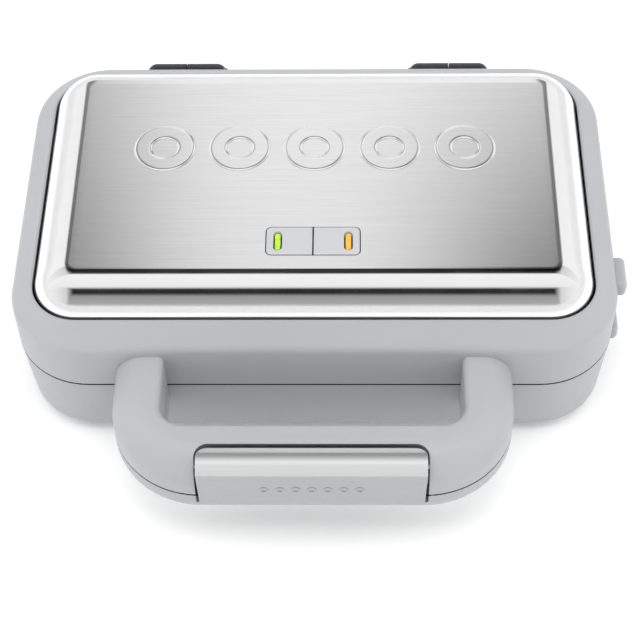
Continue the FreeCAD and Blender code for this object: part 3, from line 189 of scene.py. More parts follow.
class DonutMakerStudio(bpy.types.PropertyGroup):
    """Camera and light"""
    elevation: turn("Elevation", "Camera above the horizon", 53)
    azimuth: turn("Azimuth", "Camera round to the right of the front", 1.673)
    roll: turn("Roll", "Camera turned about its own line of sight", -1.368)
    distance: length("Distance", "Camera to its target", 0.7509)
    target: FloatVectorProperty(name="Target", description="Point that the camera looks at",
                                default=(0.0032, -0.0741, 0.0752), subtype="XYZ")
    lens: FloatProperty(name="Lens", description="Focal length in millimetres", default=96.94)
    sky: amount("Sky", "Strength of the studio's surround", 1.12)
    key: amount("Key", "Power of the overhead softbox in watts", 9.0)
    front: amount("Front fill", "Power of the low softbox in front in watts", 3.0)
    fill: amount("Side fill", "Power of each side softbox in watts", 4.0)


def sizes():
    return bpy.context.scene.donut_maker_sizes


def colours():
    return bpy.context.scene.donut_maker_colours


def studio():
    return bpy.context.scene.donut_maker_studio


# ---------------------------------------------------------------- surfaces


def rounded_loop(x_low, x_high, y_low, y_high, corners, side_points=24):
    """Points round a rectangle with quarter-circle corners.

    corners holds four radii from the low-x low-y corner anticlockwise. Each corner is
    centre + radius * (cos a, sin a) over a quarter turn, and each side is divided evenly,
    so loops made with the same counts can be joined point to point.
    """
    centres = [(x_low, y_low, 1, 1), (x_high, y_low, -1, 1), (x_high, y_high, -1, -1),
               (x_low, y_high, 1, -1)]
    starts = (math.pi, 1.5 * math.pi, 0.0, 0.5 * math.pi)
    arcs = []
    for (x, y, inward_x, inward_y), radius, start in zip(centres, corners, starts):
        angle = start + np.linspace(0, math.pi / 2, CORNER_STEPS + 1)
        middle = np.array([x + inward_x * radius, y + inward_y * radius])
        arcs.append(middle + radius * np.stack([np.cos(angle), np.sin(angle)], axis=1))
    share = np.linspace(0, 1, side_points + 1)[1:-1, None]
    pieces = []
    for here, there in zip(arcs, arcs[1:] + arcs[:1]):
        pieces += [here, here[-1] * (1 - share) + there[0] * share]
    return np.concatenate(pieces)


def circle_loop(x, y, radius, count=64):
    """Points round a circle: centre + radius * (cos a, sin a)."""
    angle = np.linspace(0, 2 * math.pi, count, endpoint=False)
    return np.stack([x + radius * np.cos(angle), y + radius * np.sin(angle)], axis=1)


def at_height(loop, height):
    """A plan loop lifted to a height."""
    return np.column_stack([loop, np.full(len(loop), height)])


def grid_faces(rows, columns, closed):
    """Quads between neighbouring rows; the columns wrap round when closed."""
    across = columns if closed else columns - 1
    row, column = np.meshgrid(np.arange(rows - 1), np.arange(across), indexing="ij")
    following = (column + 1) % columns
    low, high = row * columns, (row + 1) * columns
    return np.stack([low + column, low + following, high + following, high + column],
                    axis=-1).reshape(-1, 4)


def make_piece(name, points, faces, materials, body, replaced=()):
    """A mesh object that rides on a body, with faces as lists of vertex numbers."""
    mesh = bpy.data.meshes.new(name)
    mesh.from_pydata(points.tolist(), [], faces)
    mesh.update()
    piece = bpy.data.objects.new(name, mesh)
    bpy.context.scene.collection.objects.link(piece)
    for material in materials:
        mesh.materials.append(material)
    mesh.polygons.foreach_set("use_smooth", np.ones(len(mesh.polygons), bool))
    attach(piece, body)
    if replaced:
        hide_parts(*replaced)
    return piece


def loft_piece(name, loops, materials, body, replaced=(), cap_first=False, cap_last=False):
    """A surface through closed loops of equal counts, with flat caps where they are asked for."""
    rows, columns = len(loops), len(loops[0])
    faces = grid_faces(rows, columns, closed=True).tolist()
    if cap_first:
        faces.append(list(range(columns))[::-1])
    if cap_last:
        faces.append(list(range((rows - 1) * columns, rows * columns)))
    return make_piece(name, np.concatenate(loops), faces, materials, body, replaced)


def sharpen(piece, degrees=35):
    """Keep edges crisp where two faces meet at more than the angle."""
    piece.data.set_sharp_from_angle(angle=math.radians(degrees))
    return piece


def thicken(piece, thickness, offset=-1.0):
    """Give a sheet its wall; an offset of -1 puts the wall behind the faces."""
    wall = piece.modifiers.new("wall", "SOLIDIFY")
    wall.thickness = thickness
    wall.offset = offset
    wall.use_even_offset = True
    return piece


# ---------------------------------------------------------------- materials


class Finish:
    """A node material under construction, with short calls for the usual patterns."""

    def __init__(self, name, base, metallic, roughness):
        self.material = bpy.data.materials.new(name)
        self.material.use_nodes = True
        self.nodes = self.material.node_tree.nodes
        self.links = self.material.node_tree.links
        self.shader = self.nodes["Principled BSDF"]
        self.base = tuple(base)
        self.set("Base Color", (*self.base, 1.0))
        self.set("Metallic", metallic)
        self.set("Roughness", roughness)
        coordinates = self.nodes.new("ShaderNodeTexCoord")
        self.place = coordinates.outputs["Object"]
        self.normal = None

    def set(self, socket, value):
        self.shader.inputs[socket].default_value = value
        return self

    def stretched(self, scale):
        """The object's coordinates multiplied axis by axis."""
        mapping = self.nodes.new("ShaderNodeMapping")
        mapping.inputs["Scale"].default_value = scale
        self.links.new(self.place, mapping.inputs["Vector"])
        return mapping.outputs["Vector"]

    def noise(self, scale, detail=3.0, vector=None, roughness=0.5):
        node = self.nodes.new("ShaderNodeTexNoise")
        node.inputs["Scale"].default_value = scale
        node.inputs["Detail"].default_value = detail
        node.inputs["Roughness"].default_value = roughness
        self.links.new(vector or self.place, node.inputs["Vector"])
        return node.outputs["Fac"]

    def cells(self, scale, vector=None):
        """Voronoi cells: the distance to the nearest point and the cell's own colour."""
        node = self.nodes.new("ShaderNodeTexVoronoi")
        node.inputs["Scale"].default_value = scale
        self.links.new(vector or self.place, node.inputs["Vector"])
        return node.outputs["Distance"], node.outputs["Color"]

    def spread(self, value, low, high, from_low=0.3, from_high=0.7):
        """Stretch a pattern's middle range over two numbers."""
        node = self.nodes.new("ShaderNodeMapRange")
        node.inputs["From Min"].default_value = from_low
        node.inputs["From Max"].default_value = from_high
        node.inputs["To Min"].default_value = low
        node.inputs["To Max"].default_value = high
        self.links.new(value, node.inputs["Value"])
        return node.outputs["Result"]

    def tint(self, value, dark, light):
        """Vary the base colour between two shades of itself."""
        node = self.nodes.new("ShaderNodeMix")
        node.data_type = "RGBA"
        node.inputs["A"].default_value = (*[c * dark for c in self.base], 1.0)
        node.inputs["B"].default_value = (*[min(c * light, 1.0) for c in self.base], 1.0)
        self.links.new(value, node.inputs["Factor"])
        self.links.new(node.outputs["Result"], self.shader.inputs["Base Color"])
        return self

    def rough(self, value, low, high):
        self.links.new(self.spread(value, low, high), self.shader.inputs["Roughness"])
        return self

    def bump(self, value, depth, strength=1.0):
        """Raise the surface by a pattern, in metres, on top of any earlier bump."""
        node = self.nodes.new("ShaderNodeBump")
        node.inputs["Strength"].default_value = strength
        node.inputs["Distance"].default_value = depth
        self.links.new(value, node.inputs["Height"])
        if self.normal is not None:
            self.links.new(self.normal, node.inputs["Normal"])
        self.normal = node.outputs["Normal"]
        self.links.new(self.normal, self.shader.inputs["Normal"])
        return self


def moulded_plastic(name, base, roughness, grain=1500.0, depth=0.00002):
    """Satin moulding: a fine spark-eroded grain, slow shade drift and uneven gloss."""
    finish = Finish(name, base, 0.0, roughness)
    drift = finish.noise(14.0, detail=2.0)
    finish.tint(finish.spread(drift, 0.0, 1.0), 0.975, 1.02)
    finish.rough(finish.noise(grain * 0.25), roughness - 0.04, roughness + 0.05)
    finish.bump(finish.noise(grain, detail=2.0), depth, 0.35)
    finish.set("IOR", 1.49).set("Specular IOR Level", 0.45)
    return finish.material


def brushed_metal(name, base, roughness, along=30.0, across=1900.0, depth=0.000008):
    """Sheet brushed along X: long hair lines, with streaks in both shade and gloss."""
    finish = Finish(name, base, 1.0, roughness)
    lines = finish.noise(1.0, detail=4.0, vector=finish.stretched((along, across, across)))
    streaks = finish.noise(1.0, detail=2.0,
                           vector=finish.stretched((along * 0.7, across * 0.4, across * 0.4)))
    finish.tint(finish.spread(lines, 0.0, 1.0), 0.97, 1.02)
    finish.rough(streaks, roughness - 0.015, roughness + 0.02)
    finish.bump(lines, depth, 0.4)
    return finish.material


def polished_metal(name, base, roughness):
    """Bright sheet with faint wipe marks and a slight waviness from the press."""
    finish = Finish(name, base, 1.0, roughness)
    wipes = finish.noise(1.0, detail=3.0, vector=finish.stretched((60.0, 140.0, 140.0)))
    finish.tint(finish.spread(wipes, 0.0, 1.0), 0.98, 1.01)
    finish.rough(wipes, roughness - 0.02, roughness + 0.04)
    finish.bump(finish.noise(22.0, detail=1.0), 0.00035, 0.12)
    return finish.material


def spangled_metal(name, base, roughness):
    """Coated sheet steel: pale crystal spangles that differ a little in shade and gloss."""
    finish = Finish(name, base, 1.0, roughness)
    edge, shade = finish.cells(210.0)
    finish.tint(finish.spread(shade, 0.0, 1.0), 0.88, 1.04)
    finish.rough(shade, roughness - 0.05, roughness + 0.08)
    finish.bump(edge, 0.00003, 0.3)
    return finish.material


def fired_coating(name, base):
    """Sprayed ceramic coating: a soft orange-peel surface with sparse pale and dark flecks."""
    finish = Finish(name, base, 0.0, 0.24)
    edge, _ = finish.cells(900.0)
    finish.tint(finish.spread(edge, 0.0, 1.0, 0.05, 0.25), 0.72, 1.02)
    finish.rough(finish.noise(120.0), 0.20, 0.30)
    finish.bump(finish.noise(420.0, detail=2.0), 0.00003, 0.4)
    finish.set("Coat Weight", 0.25).set("Coat Roughness", 0.12)
    return finish.material


def heated_sheath(name):
    """Element sheath: dull nickel alloy with straw and blue-brown heat bands."""
    finish = Finish(name, (0.20, 0.175, 0.155), 1.0, 0.42)
    finish.tint(finish.spread(finish.noise(45.0), 0.0, 1.0), 0.55, 1.5)
    finish.rough(finish.noise(300.0), 0.34, 0.52)
    finish.bump(finish.noise(1400.0), 0.00002, 0.4)
    return finish.material


def vulcanised_rubber(name):
    finish = Finish(name, (0.022, 0.022, 0.023), 0.0, 0.78)
    finish.tint(finish.spread(finish.noise(90.0), 0.0, 1.0), 0.8, 1.5)
    finish.rough(finish.noise(400.0), 0.70, 0.88)
    finish.bump(finish.noise(1800.0), 0.00004, 0.6)
    return finish.material


def lamp_plastic(name, base):
    """Clear tinted lens lit from below: a faint even glow under a cloudy tint."""
    finish = Finish(name, base, 0.0, 0.16)
    cloud = finish.noise(700.0, detail=1.0)
    finish.tint(finish.spread(cloud, 0.0, 1.0), 0.82, 1.12)
    finish.rough(cloud, 0.12, 0.22)
    finish.set("Emission Color", (*base, 1.0)).set("Emission Strength", 0.10)
    finish.set("Coat Weight", 0.8).set("Coat Roughness", 0.06)
    finish.set("Subsurface Weight", 0.15).set("Subsurface Scale", 0.001)
    return finish.material


def gap_shadow_black(name):
    """Painted shadow for gaps: near-black, with fine pits and no specular, so it sends back
    almost no light.
    """
    finish = Finish(name, (0.004, 0.004, 0.004), 0.0, 0.95)
    pits = finish.noise(2400.0)
    finish.tint(finish.spread(pits, 0.0, 1.0), 0.6, 1.4)
    finish.rough(pits, 0.9, 1.0)
    finish.bump(pits, 0.00003, 0.4)
    finish.set("Specular IOR Level", 0.0)
    return finish.material


def printed_board(name):
    """Green solder mask over copper tracks that show as raised bands."""
    finish = Finish(name, (0.030, 0.160, 0.060), 0.0, 0.35)
    _, tracks = finish.cells(420.0, finish.stretched((1.0, 0.25, 1.0)))
    finish.tint(finish.spread(tracks, 0.0, 1.0), 0.7, 1.5)
    finish.rough(tracks, 0.30, 0.45)
    finish.bump(tracks, 0.00005, 0.5)
    return finish.material


def unglazed_ceramic(name, base):
    finish = Finish(name, base, 0.0, 0.62)
    finish.tint(finish.spread(finish.noise(160.0), 0.0, 1.0), 0.9, 1.03)
    finish.rough(finish.noise(500.0), 0.55, 0.7)
    finish.bump(finish.noise(900.0), 0.00004, 0.5)
    return finish.material


MATERIALS = {}


def shared(name, maker, *arguments, **options):
    """Make a material once and hand out the same one afterwards."""
    if name not in MATERIALS:
        MATERIALS[name] = maker(name, *arguments, **options)
    return MATERIALS[name]


def slot_material(slot):
    """The finish of each material slot of the record."""
    tones = colours()
    makers = {
        "grey_plastic": (moulded_plastic, tones.casing, tones.casing_gloss),
        "polished_steel": (polished_metal, tones.steel, tones.polish_gloss),
        "satin_steel": (brushed_metal, tones.latch, 0.35),
        "panel_plastic": (moulded_plastic, tones.panel, 0.34, 2600.0, 0.00001),
        "green_lens": (lamp_plastic, tones.green),
        "amber_lens": (lamp_plastic, tones.amber),
        "ceramic_coating": (fired_coating, tones.coating),
        "black_plastic": (moulded_plastic, tones.dark, 0.46, 1300.0, 0.00004),
        "aluminised_steel": (spangled_metal, (0.62, 0.62, 0.63), 0.30),
        "plated_steel": (brushed_metal, (0.56, 0.56, 0.57), 0.26, 300.0, 900.0),
        "black_rubber": (vulcanised_rubber,),
        "circuit_board": (printed_board,),
        "natural_plastic": (moulded_plastic, (0.62, 0.59, 0.50), 0.5, 700.0, 0.00004),
        "switch_ceramic": (unglazed_ceramic, (0.72, 0.69, 0.60)),
        "heated_sheath": (heated_sheath,),
    }
    maker, *arguments = makers[slot]
    return shared(slot, maker, *arguments)


def brushed_panel():
    return shared("brushed_panel", brushed_metal, colours().steel, colours().steel_gloss)


# The latch's steel in the darker face colour: painted shade on the clip's front.
def shaded_latch_face():
    return shared("shaded_latch_face", brushed_metal, colours().shaded_latch_face, 0.36)


# ---------------------------------------------------------------- pieces


class Roll:
    """The steel top's section, measured inwards from its outline.

    From the casing it climbs an arc of the roll radius, whose slope falls from the low
    to the high angle, then a tight crease arc takes the slope to nothing at the flat panel.
    """

    def __init__(self, made):
        self.low, self.high = made.roll_low_angle, made.roll_high_angle
        self.radius, self.crease = made.roll_radius, made.crease_radius
        self.roll_run = self.radius * (math.sin(self.low) - math.sin(self.high))
        self.roll_rise = self.radius * (math.cos(self.high) - math.cos(self.low))
        self.crease_run = self.crease * math.sin(self.high)
        self.crease_rise = self.crease * (1 - math.cos(self.high))

    def climb(self, count):
        """Inset and rise up the rolled side."""
        slope = np.linspace(self.low, self.high, count)
        inset = self.radius * (math.sin(self.low) - np.sin(slope))
        return inset, self.radius * (np.cos(slope) - math.cos(self.low))

    def bend(self, count):
        """Inset and rise through the crease."""
        slope = np.linspace(self.high, 0, count)[1:]
        inset = self.roll_run + self.crease * (math.sin(self.high) - np.sin(slope))
        rise = self.roll_rise + self.crease * (np.cos(slope) - math.cos(self.high))
        return inset, rise


def cover_frame():
    """Half sizes of the steel top, its rim height and its flat panel's height."""
    low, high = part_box("lid_cover")
    roll = Roll(sizes())
    flat_z = high.z
    rim_z = flat_z - roll.roll_rise - roll.crease_rise
    return high.x, high.y, low.z, rim_z, flat_z, roll


def panel_box():
    """The lamp panel's plan corners and its top."""
    low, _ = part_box("indicator_panel_left")
    _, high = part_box("indicator_panel_right")
    return low.x, high.x, low.y, high.y, high.z


def steel_top():
    """The pressed top as one surface: window edge, flat panel, crease, roll and skirt."""
    half_x, half_y, skirt_z, rim_z, flat_z, roll = cover_frame()
    made = sizes()

    def inset_loop(inset, height):
        corner = max(made.top_corner - inset, LEAST_CORNER)
        plan = rounded_loop(-half_x + inset, half_x - inset, -half_y + inset, half_y - inset,
                            [corner] * 4, side_points=TOP_SIDE_POINTS)
        return at_height(plan, height)

    loops = [inset_loop(0.0, skirt_z), inset_loop(0.0, rim_z - SKIRT_TURN)]
    roll_inset, roll_rise = roll.climb(ROLL_ROWS)
    bend_inset, bend_rise = roll.bend(BEND_ROWS)
    insets = np.concatenate([roll_inset, bend_inset])
    rises = np.concatenate([roll_rise, bend_rise])
    loops += [inset_loop(inset, rim_z + rise) for inset, rise in zip(insets, rises)]
    polished_rows = len(loops) - 1

    x_low, x_high, y_low, y_high, _ = panel_box()
    corner = made.panel_corner + WINDOW_GAP
    window = rounded_loop(x_low - WINDOW_GAP, x_high + WINDOW_GAP, y_low - WINDOW_GAP,
                          y_high + WINDOW_GAP, [corner] * 4, side_points=TOP_SIDE_POINTS)
    edge = loops[-1]
    for share in np.linspace(0, 1, FLAT_ROWS)[1:]:
        loops.append(edge * (1 - share) + at_height(window, flat_z) * share)
    loops.append(at_height(window, flat_z - WINDOW_DEPTH))

    piece = loft_piece("steel_top", loops, [slot_material("polished_steel"), brushed_panel()],
                       "lid", replaced=("lid_cover",))
    columns = len(edge)
    index = np.zeros(len(piece.data.polygons), np.int32)
    index[polished_rows * columns:] = 1
    piece.data.polygons.foreach_set("material_index", index)
    thicken(piece, made.sheet)
    return sharpen(piece, 40)


def raised_ring(x, y, height, made, turned=False):
    """A low embossed ring: a plateau between two S-shaped banks.

    The height over the sheet is rise * smoothstep of the distance in from either edge, and
    the section is carried round the circle.
    """
    band, rise = made["band"], made["rise"]
    across = np.concatenate([np.linspace(0, RING_BANK, 9),
                             np.linspace(RING_BANK, 1 - RING_BANK, 9)[1:],
                             np.linspace(1 - RING_BANK, 1, 9)[1:]])
    share = np.clip(np.minimum(across, 1 - across) / RING_BANK, 0, 1)
    lift = rise * share * share * (3 - 2 * share) - RING_SINK
    radii = made["radius"] + band * (across - 0.5)
    loops = []
    for radius, up in zip(radii[::-1], lift[::-1]):
        plan = circle_loop(0.0, 0.0, radius, RING_POINTS)
        level = np.full(len(plan), up)
        if turned:
            loops.append(np.column_stack([x + plan[:, 0], y - level, height + plan[:, 1]]))
        else:
            loops.append(np.column_stack([x + plan[:, 0], y + plan[:, 1], height + level]))
    return loops


def embossed_rings():
    """A row of plain rings pressed into the flat panel."""
    *_, flat_z, _ = cover_frame()
    made = sizes()
    section = {"band": made.ring_band, "rise": made.ring_rise, "radius": made.ring_radius}
    middle = (made.ring_count - 1) / 2
    for number in range(made.ring_count):
        loops = raised_ring((number - middle) * made.ring_pitch, made.ring_y, flat_z, section)
        loft_piece(f"embossed_ring_{number + 1}", loops, [brushed_panel()], "lid")


def cover_gap_shadow():
    """A near-black bead of painted shadow in the gap between the steel top and the casing, where
    there is only shade.
    """
    half_x, half_y, _, rim_z, _, _ = cover_frame()
    top = rim_z - BEAD_DEPTH
    corner = sizes().top_corner

    def outline(grow, height):
        return at_height(rounded_loop(-half_x - grow, half_x + grow, -half_y - grow,
                                      half_y + grow, [corner + grow] * 4, side_points=40), height)

    rows = [(BEAD_INNER, top - BEAD_HEIGHT), (BEAD_INNER, top), (BEAD_OUTER, top),
            (BEAD_OUTER, top - BEAD_HEIGHT)]
    return loft_piece("cover_gap_shadow", [outline(*row) for row in rows],
                      [shared("gap_shadow_black", gap_shadow_black)], "lid")


def ribbon(name, path, closed):
    """An upright band of near-black painted shadow along a plan path, given a little thickness.
    """
    points = np.concatenate([at_height(path, JOINT_LOW), at_height(path, JOINT_HIGH)])
    faces = grid_faces(2, len(path), closed=closed).tolist()
    piece = make_piece(name, points, faces, [shared("gap_shadow_black", gap_shadow_black)], "base")
    return thicken(piece, RIBBON_THICKNESS, offset=0.0)


def quarter_arc(x, y, radius, start, end, steps=16):
    """Points on a circle between two angles in degrees."""
    angle = np.radians(np.linspace(start, end, steps))
    return np.stack([x + radius * np.cos(angle), y + radius * np.sin(angle)], axis=1)


def seam_gap_shadows():
    """Near-black strips of painted shadow in the joint of the two casings, where there is only
    shade: round the shell and along the handle.
    """
    inset = JOINT_INSET
    shell = rounded_loop(-SHELL_HALF_X + inset, SHELL_HALF_X - inset, SHELL_FRONT + inset,
                         SHELL_REAR - inset, [SHELL_CORNER - inset] * 4, side_points=40)
    ribbon("shell_gap_shadow", shell, closed=True)
    for side, sign in SIDES.items():
        corner = quarter_arc(HANDLE_CORNER - HANDLE_HALF_X, HANDLE_FRONT + HANDLE_CORNER,
                             HANDLE_CORNER - inset, 180, 270)
        outer = np.concatenate([[[-HANDLE_HALF_X + inset, SHELL_FRONT]], corner,
                                [[-LATCH_RECESS_HALF_X, HANDLE_FRONT + inset]]])
        ribbon(f"handle_gap_shadow_{side}", outer * (-sign, 1), closed=False)
    turn_in = quarter_arc(GRIP_CORNER - GRIP_HALF_X, GRIP_CORNER_Y, GRIP_CORNER + inset,
                          180, 270)
    inner = np.concatenate([[[-GRIP_HALF_X - inset, SHELL_FRONT]], turn_in,
                            turn_in[::-1] * (-1, 1), [[GRIP_HALF_X + inset, SHELL_FRONT]]])
    ribbon("handle_gap_shadow_inner", inner, closed=False)


def latch_section(low, high):
    """The latch's outer line as two runs of (y, z): its top, and its face and foot.

    The top's slope is a function of the distance along it: almost level behind, steeper
    quickly in the middle, then nearly even to the front crease. Summing the steps gives the
    line, which is then scaled to end on the crease. The face is straight to the foot.
    """
    start = np.array([high.y - LATCH_REAR_INSET, high.z])
    crease = np.array([low.y + LATCH_CREASE_INSET, high.z - sizes().latch_crease])
    share = np.linspace(0, 1, LATCH_TOP_POINTS)
    slope = np.radians(np.interp((share[1:] + share[:-1]) / 2, LATCH_REACH, LATCH_SLOPE))
    run = np.stack([-np.cos(slope), -np.sin(slope)], axis=1)
    path = np.concatenate([[[0.0, 0.0]], np.cumsum(run, axis=0)])
    top = start + path / path[-1] * (crease - start)
    foot = np.array([low.y + LATCH_FOOT_INSET, low.z + LATCH_FOOT_LIFT])
    face = crease + np.linspace(0, 1, LATCH_FACE_POINTS)[1:, None] * (foot - crease)
    turn_in = foot + np.array([[FOOT_TURN, -FOOT_DROP], [FOOT_REACH, -FOOT_DROP]])
    return top, np.concatenate([face, turn_in])


def latch_clip():
    """The clip on the handle: its section carried along X, with the rear corners rounded.

    Near each end the section starts later along its own length, by the circle
    r - sqrt(r^2 - d^2), which rounds the corner in plan.
    """
    made = sizes()
    low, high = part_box("latch")
    corner = made.latch_corner
    half = high.x
    ends = half - corner + corner * np.sin(np.linspace(0, math.pi / 2, LATCH_CORNER_COLUMNS))
    middle = np.linspace(-half + corner, half - corner, LATCH_COLUMNS)[1:-1]
    x = np.concatenate([-ends[::-1], middle, ends])
    top, front = latch_section(low, high)
    steps = np.concatenate([[0], np.cumsum(np.linalg.norm(np.diff(top, axis=0), axis=1))])
    past = np.clip(np.abs(x) - (half - corner), 0, corner)
    start = corner - np.sqrt(np.maximum(corner ** 2 - past ** 2, 0))
    share = steps / steps[-1]
    rows = []
    for along, begin in zip(x, start):
        distance = begin + share * (steps[-1] - begin)
        y = np.concatenate([np.interp(distance, steps, top[:, 0]), front[:, 0]])
        z = np.concatenate([np.interp(distance, steps, top[:, 1]), front[:, 1]])
        taper = 1 - LATCH_TAPER * np.clip((high.z - z) / (high.z - low.z), 0, 1)
        rows.append(np.column_stack([along * taper, y, z]))
    points = np.concatenate(rows)
    columns = len(top) + len(front)
    faces = grid_faces(len(x), columns, closed=False)
    piece = make_piece("latch_clip", points, faces.tolist(),
                       [slot_material("satin_steel"), shaded_latch_face()],
                       "latch", replaced=("latch",))
    # Faces from the crease down get the darker copy of the latch's steel, painted shade.
    on_face = np.tile(np.arange(columns - 1) >= len(top) - 1, len(x) - 1)
    piece.data.polygons.foreach_set("material_index", on_face.astype(np.int32))
    thicken(piece, made.latch_sheet)
    return sharpen(piece, 30)


def latch_rings():
    """A small row of raised rings on the clip's face."""
    low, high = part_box("latch")
    height = (high.z - sizes().latch_crease + low.z) / 2
    for number in range(LATCH_RING_COUNT):
        x = (number - (LATCH_RING_COUNT - 1) / 2) * LATCH_RING_PITCH
        loops = raised_ring(x, low.y + LATCH_RING_INSET, height, LATCH_RING, turned=True)
        # The rings on the face take the same painted-shade copy of the steel.
        loft_piece(f"latch_ring_{number + 1}", loops, [shaded_latch_face()], "latch")


def pill_loop(x, y, half_x, half_y):
    """A slot outline with half-round ends."""
    return rounded_loop(x - half_x, x + half_x, y - half_y, y + half_y,
                        [half_x * PILL_ROUND] * 4, side_points=12)


def panel_half(side, sign):
    """Half of the lamp panel: a plate with rounded edges and a countersunk lens slot."""
    low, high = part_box(f"indicator_panel_{side}")
    lens_low, lens_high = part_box("power_lens" if side == "left" else "ready_lens")
    corners = [PANEL_INNER_CORNER] * 4
    outer = (0, 3) if sign < 0 else (1, 2)
    for number in outer:
        corners[number] = sizes().panel_corner
    top, edge = high.z, PANEL_EDGE

    def outline(inset, height):
        radii = [max(radius - inset, PANEL_LEAST_CORNER) for radius in corners]
        return at_height(rounded_loop(low.x + inset, high.x - inset, low.y + inset,
                                      high.y - inset, radii, side_points=12), height)

    x, y = (lens_low.x + lens_high.x) / 2, (lens_low.y + lens_high.y) / 2
    half_x, half_y = (lens_high.x - lens_low.x) / 2, (lens_high.y - lens_low.y) / 2

    def lens_slot(grow, height):
        return at_height(pill_loop(x, y, half_x + grow, half_y + grow), height)

    loops = [outline(0.0, top - PANEL_SIDE), outline(0.0, top - edge),
             outline(edge * 0.3, top - edge * 0.3), outline(edge, top)]
    rim = lens_slot(SLOT_RIM, top)
    loops += [loops[-1] * (1 - share) + rim * share for share in np.linspace(0, 1, 6)[1:]]
    loops.append(lens_slot(SLOT_STEP, top - SLOT_STEP_DEPTH))
    loops.append(lens_slot(SLOT_WALL, top - SLOT_DEPTH))
    piece = loft_piece(f"panel_face_{side}", loops, [slot_material("panel_plastic")], "lid",
                       replaced=(f"indicator_panel_{side}",))
    return sharpen(piece, 40)


def lamp_lens(node, slot):
    """A lens: pill-shaped loops up its side, drawn in over a domed top."""
    low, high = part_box(node)
    x, y = (low.x + high.x) / 2, (low.y + high.y) / 2
    half_x, half_y = (high.x - low.x) / 2, (high.y - low.y) / 2
    top = high.z - LENS_SHOULDER
    loops = [at_height(pill_loop(x, y, half_x, half_y), low.z)]
    for angle in np.linspace(0, math.pi / 2, 9):
        inset = half_x * LENS_DRAW * (1 - math.cos(angle))
        loops.append(at_height(pill_loop(x, y, half_x - inset, half_y - inset),
                               top + LENS_DOME * math.sin(angle)))
    return loft_piece(f"{node}_glow", loops, [slot_material(slot)], "lid",
                      replaced=(node,), cap_first=True, cap_last=True)


def panel_gap_shadow():
    """A dark piece below the window gap round the lamp panel, painted shadow standing in for the
    shade in that gap, which shows as a thin line round it.
    """
    x_low, x_high, y_low, y_high, _ = panel_box()
    corner = sizes().panel_corner
    *_, flat_z, _ = cover_frame()

    def outline(grow, height):
        return at_height(rounded_loop(x_low - grow, x_high + grow, y_low - grow, y_high + grow,
                                      [corner + grow] * 4, side_points=20), height)

    loops = [outline(PANEL_SHADOW_OUT, flat_z - PANEL_SHADOW_FOOT), outline(PANEL_SHADOW_OUT, flat_z - PANEL_SHADOW_TOP),
             outline(PANEL_SHADOW_IN, flat_z - PANEL_SHADOW_TOP), outline(PANEL_SHADOW_IN, flat_z - PANEL_SHADOW_FOOT)]
    return loft_piece("panel_gap_shadow", loops, [slot_material("black_plastic")], "lid")


def finish_nodes():
    """Give every CAD node that stays in sight its own finish."""
    chosen = {part["node"]: part["material_slot"] for part in frame["record"]["subparts"]}
    for node, piece in frame["nodes"].items():
        slot = "heated_sheath" if node.endswith("element") else chosen[node]
        piece.data.materials.clear()
        piece.data.materials.append(slot_material(slot))


# ---------------------------------------------------------------- studio


def aim(direction, up=Vector((0, 0, 1))):
    """A rotation whose -Z looks along a direction."""
    back = -direction.normalized()
    side = up.cross(back).normalized()
    return Matrix((side, back.cross(side), back)).transposed()


def camera():
    setup = studio()
    back = Vector((math.sin(setup.azimuth) * math.cos(setup.elevation),
                   -math.cos(setup.azimuth) * math.cos(setup.elevation),
                   math.sin(setup.elevation)))
    data = bpy.data.cameras.new("camera")
    data.lens = setup.lens
    data.sensor_width = 36.0
    data.clip_start, data.clip_end = 0.01, 50.0
    viewer = bpy.data.objects.new("camera", data)
    turned = aim(-back) @ Matrix.Rotation(setup.roll, 3, "Z")
    viewer.matrix_world = Matrix.Translation(Vector(setup.target) + back * setup.distance) \
        @ turned.to_4x4()
    bpy.context.scene.collection.objects.link(viewer)
    bpy.context.scene.camera = viewer


def softbox(name, place, target, width, height, power):
    data = bpy.data.lights.new(name, "AREA")
    data.shape = "RECTANGLE"
    data.size, data.size_y = width, height
    data.energy = power
    lamp = bpy.data.objects.new(name, data)
    direction = Vector(target) - Vector(place)
    up = Vector((0, 1, 0)) if abs(direction.normalized().z) > 0.9 else Vector((0, 0, 1))
    lamp.matrix_world = Matrix.Translation(Vector(place)) @ aim(direction, up).to_4x4()
    lamp.visible_glossy = False
    bpy.context.scene.collection.objects.link(lamp)
    return lamp


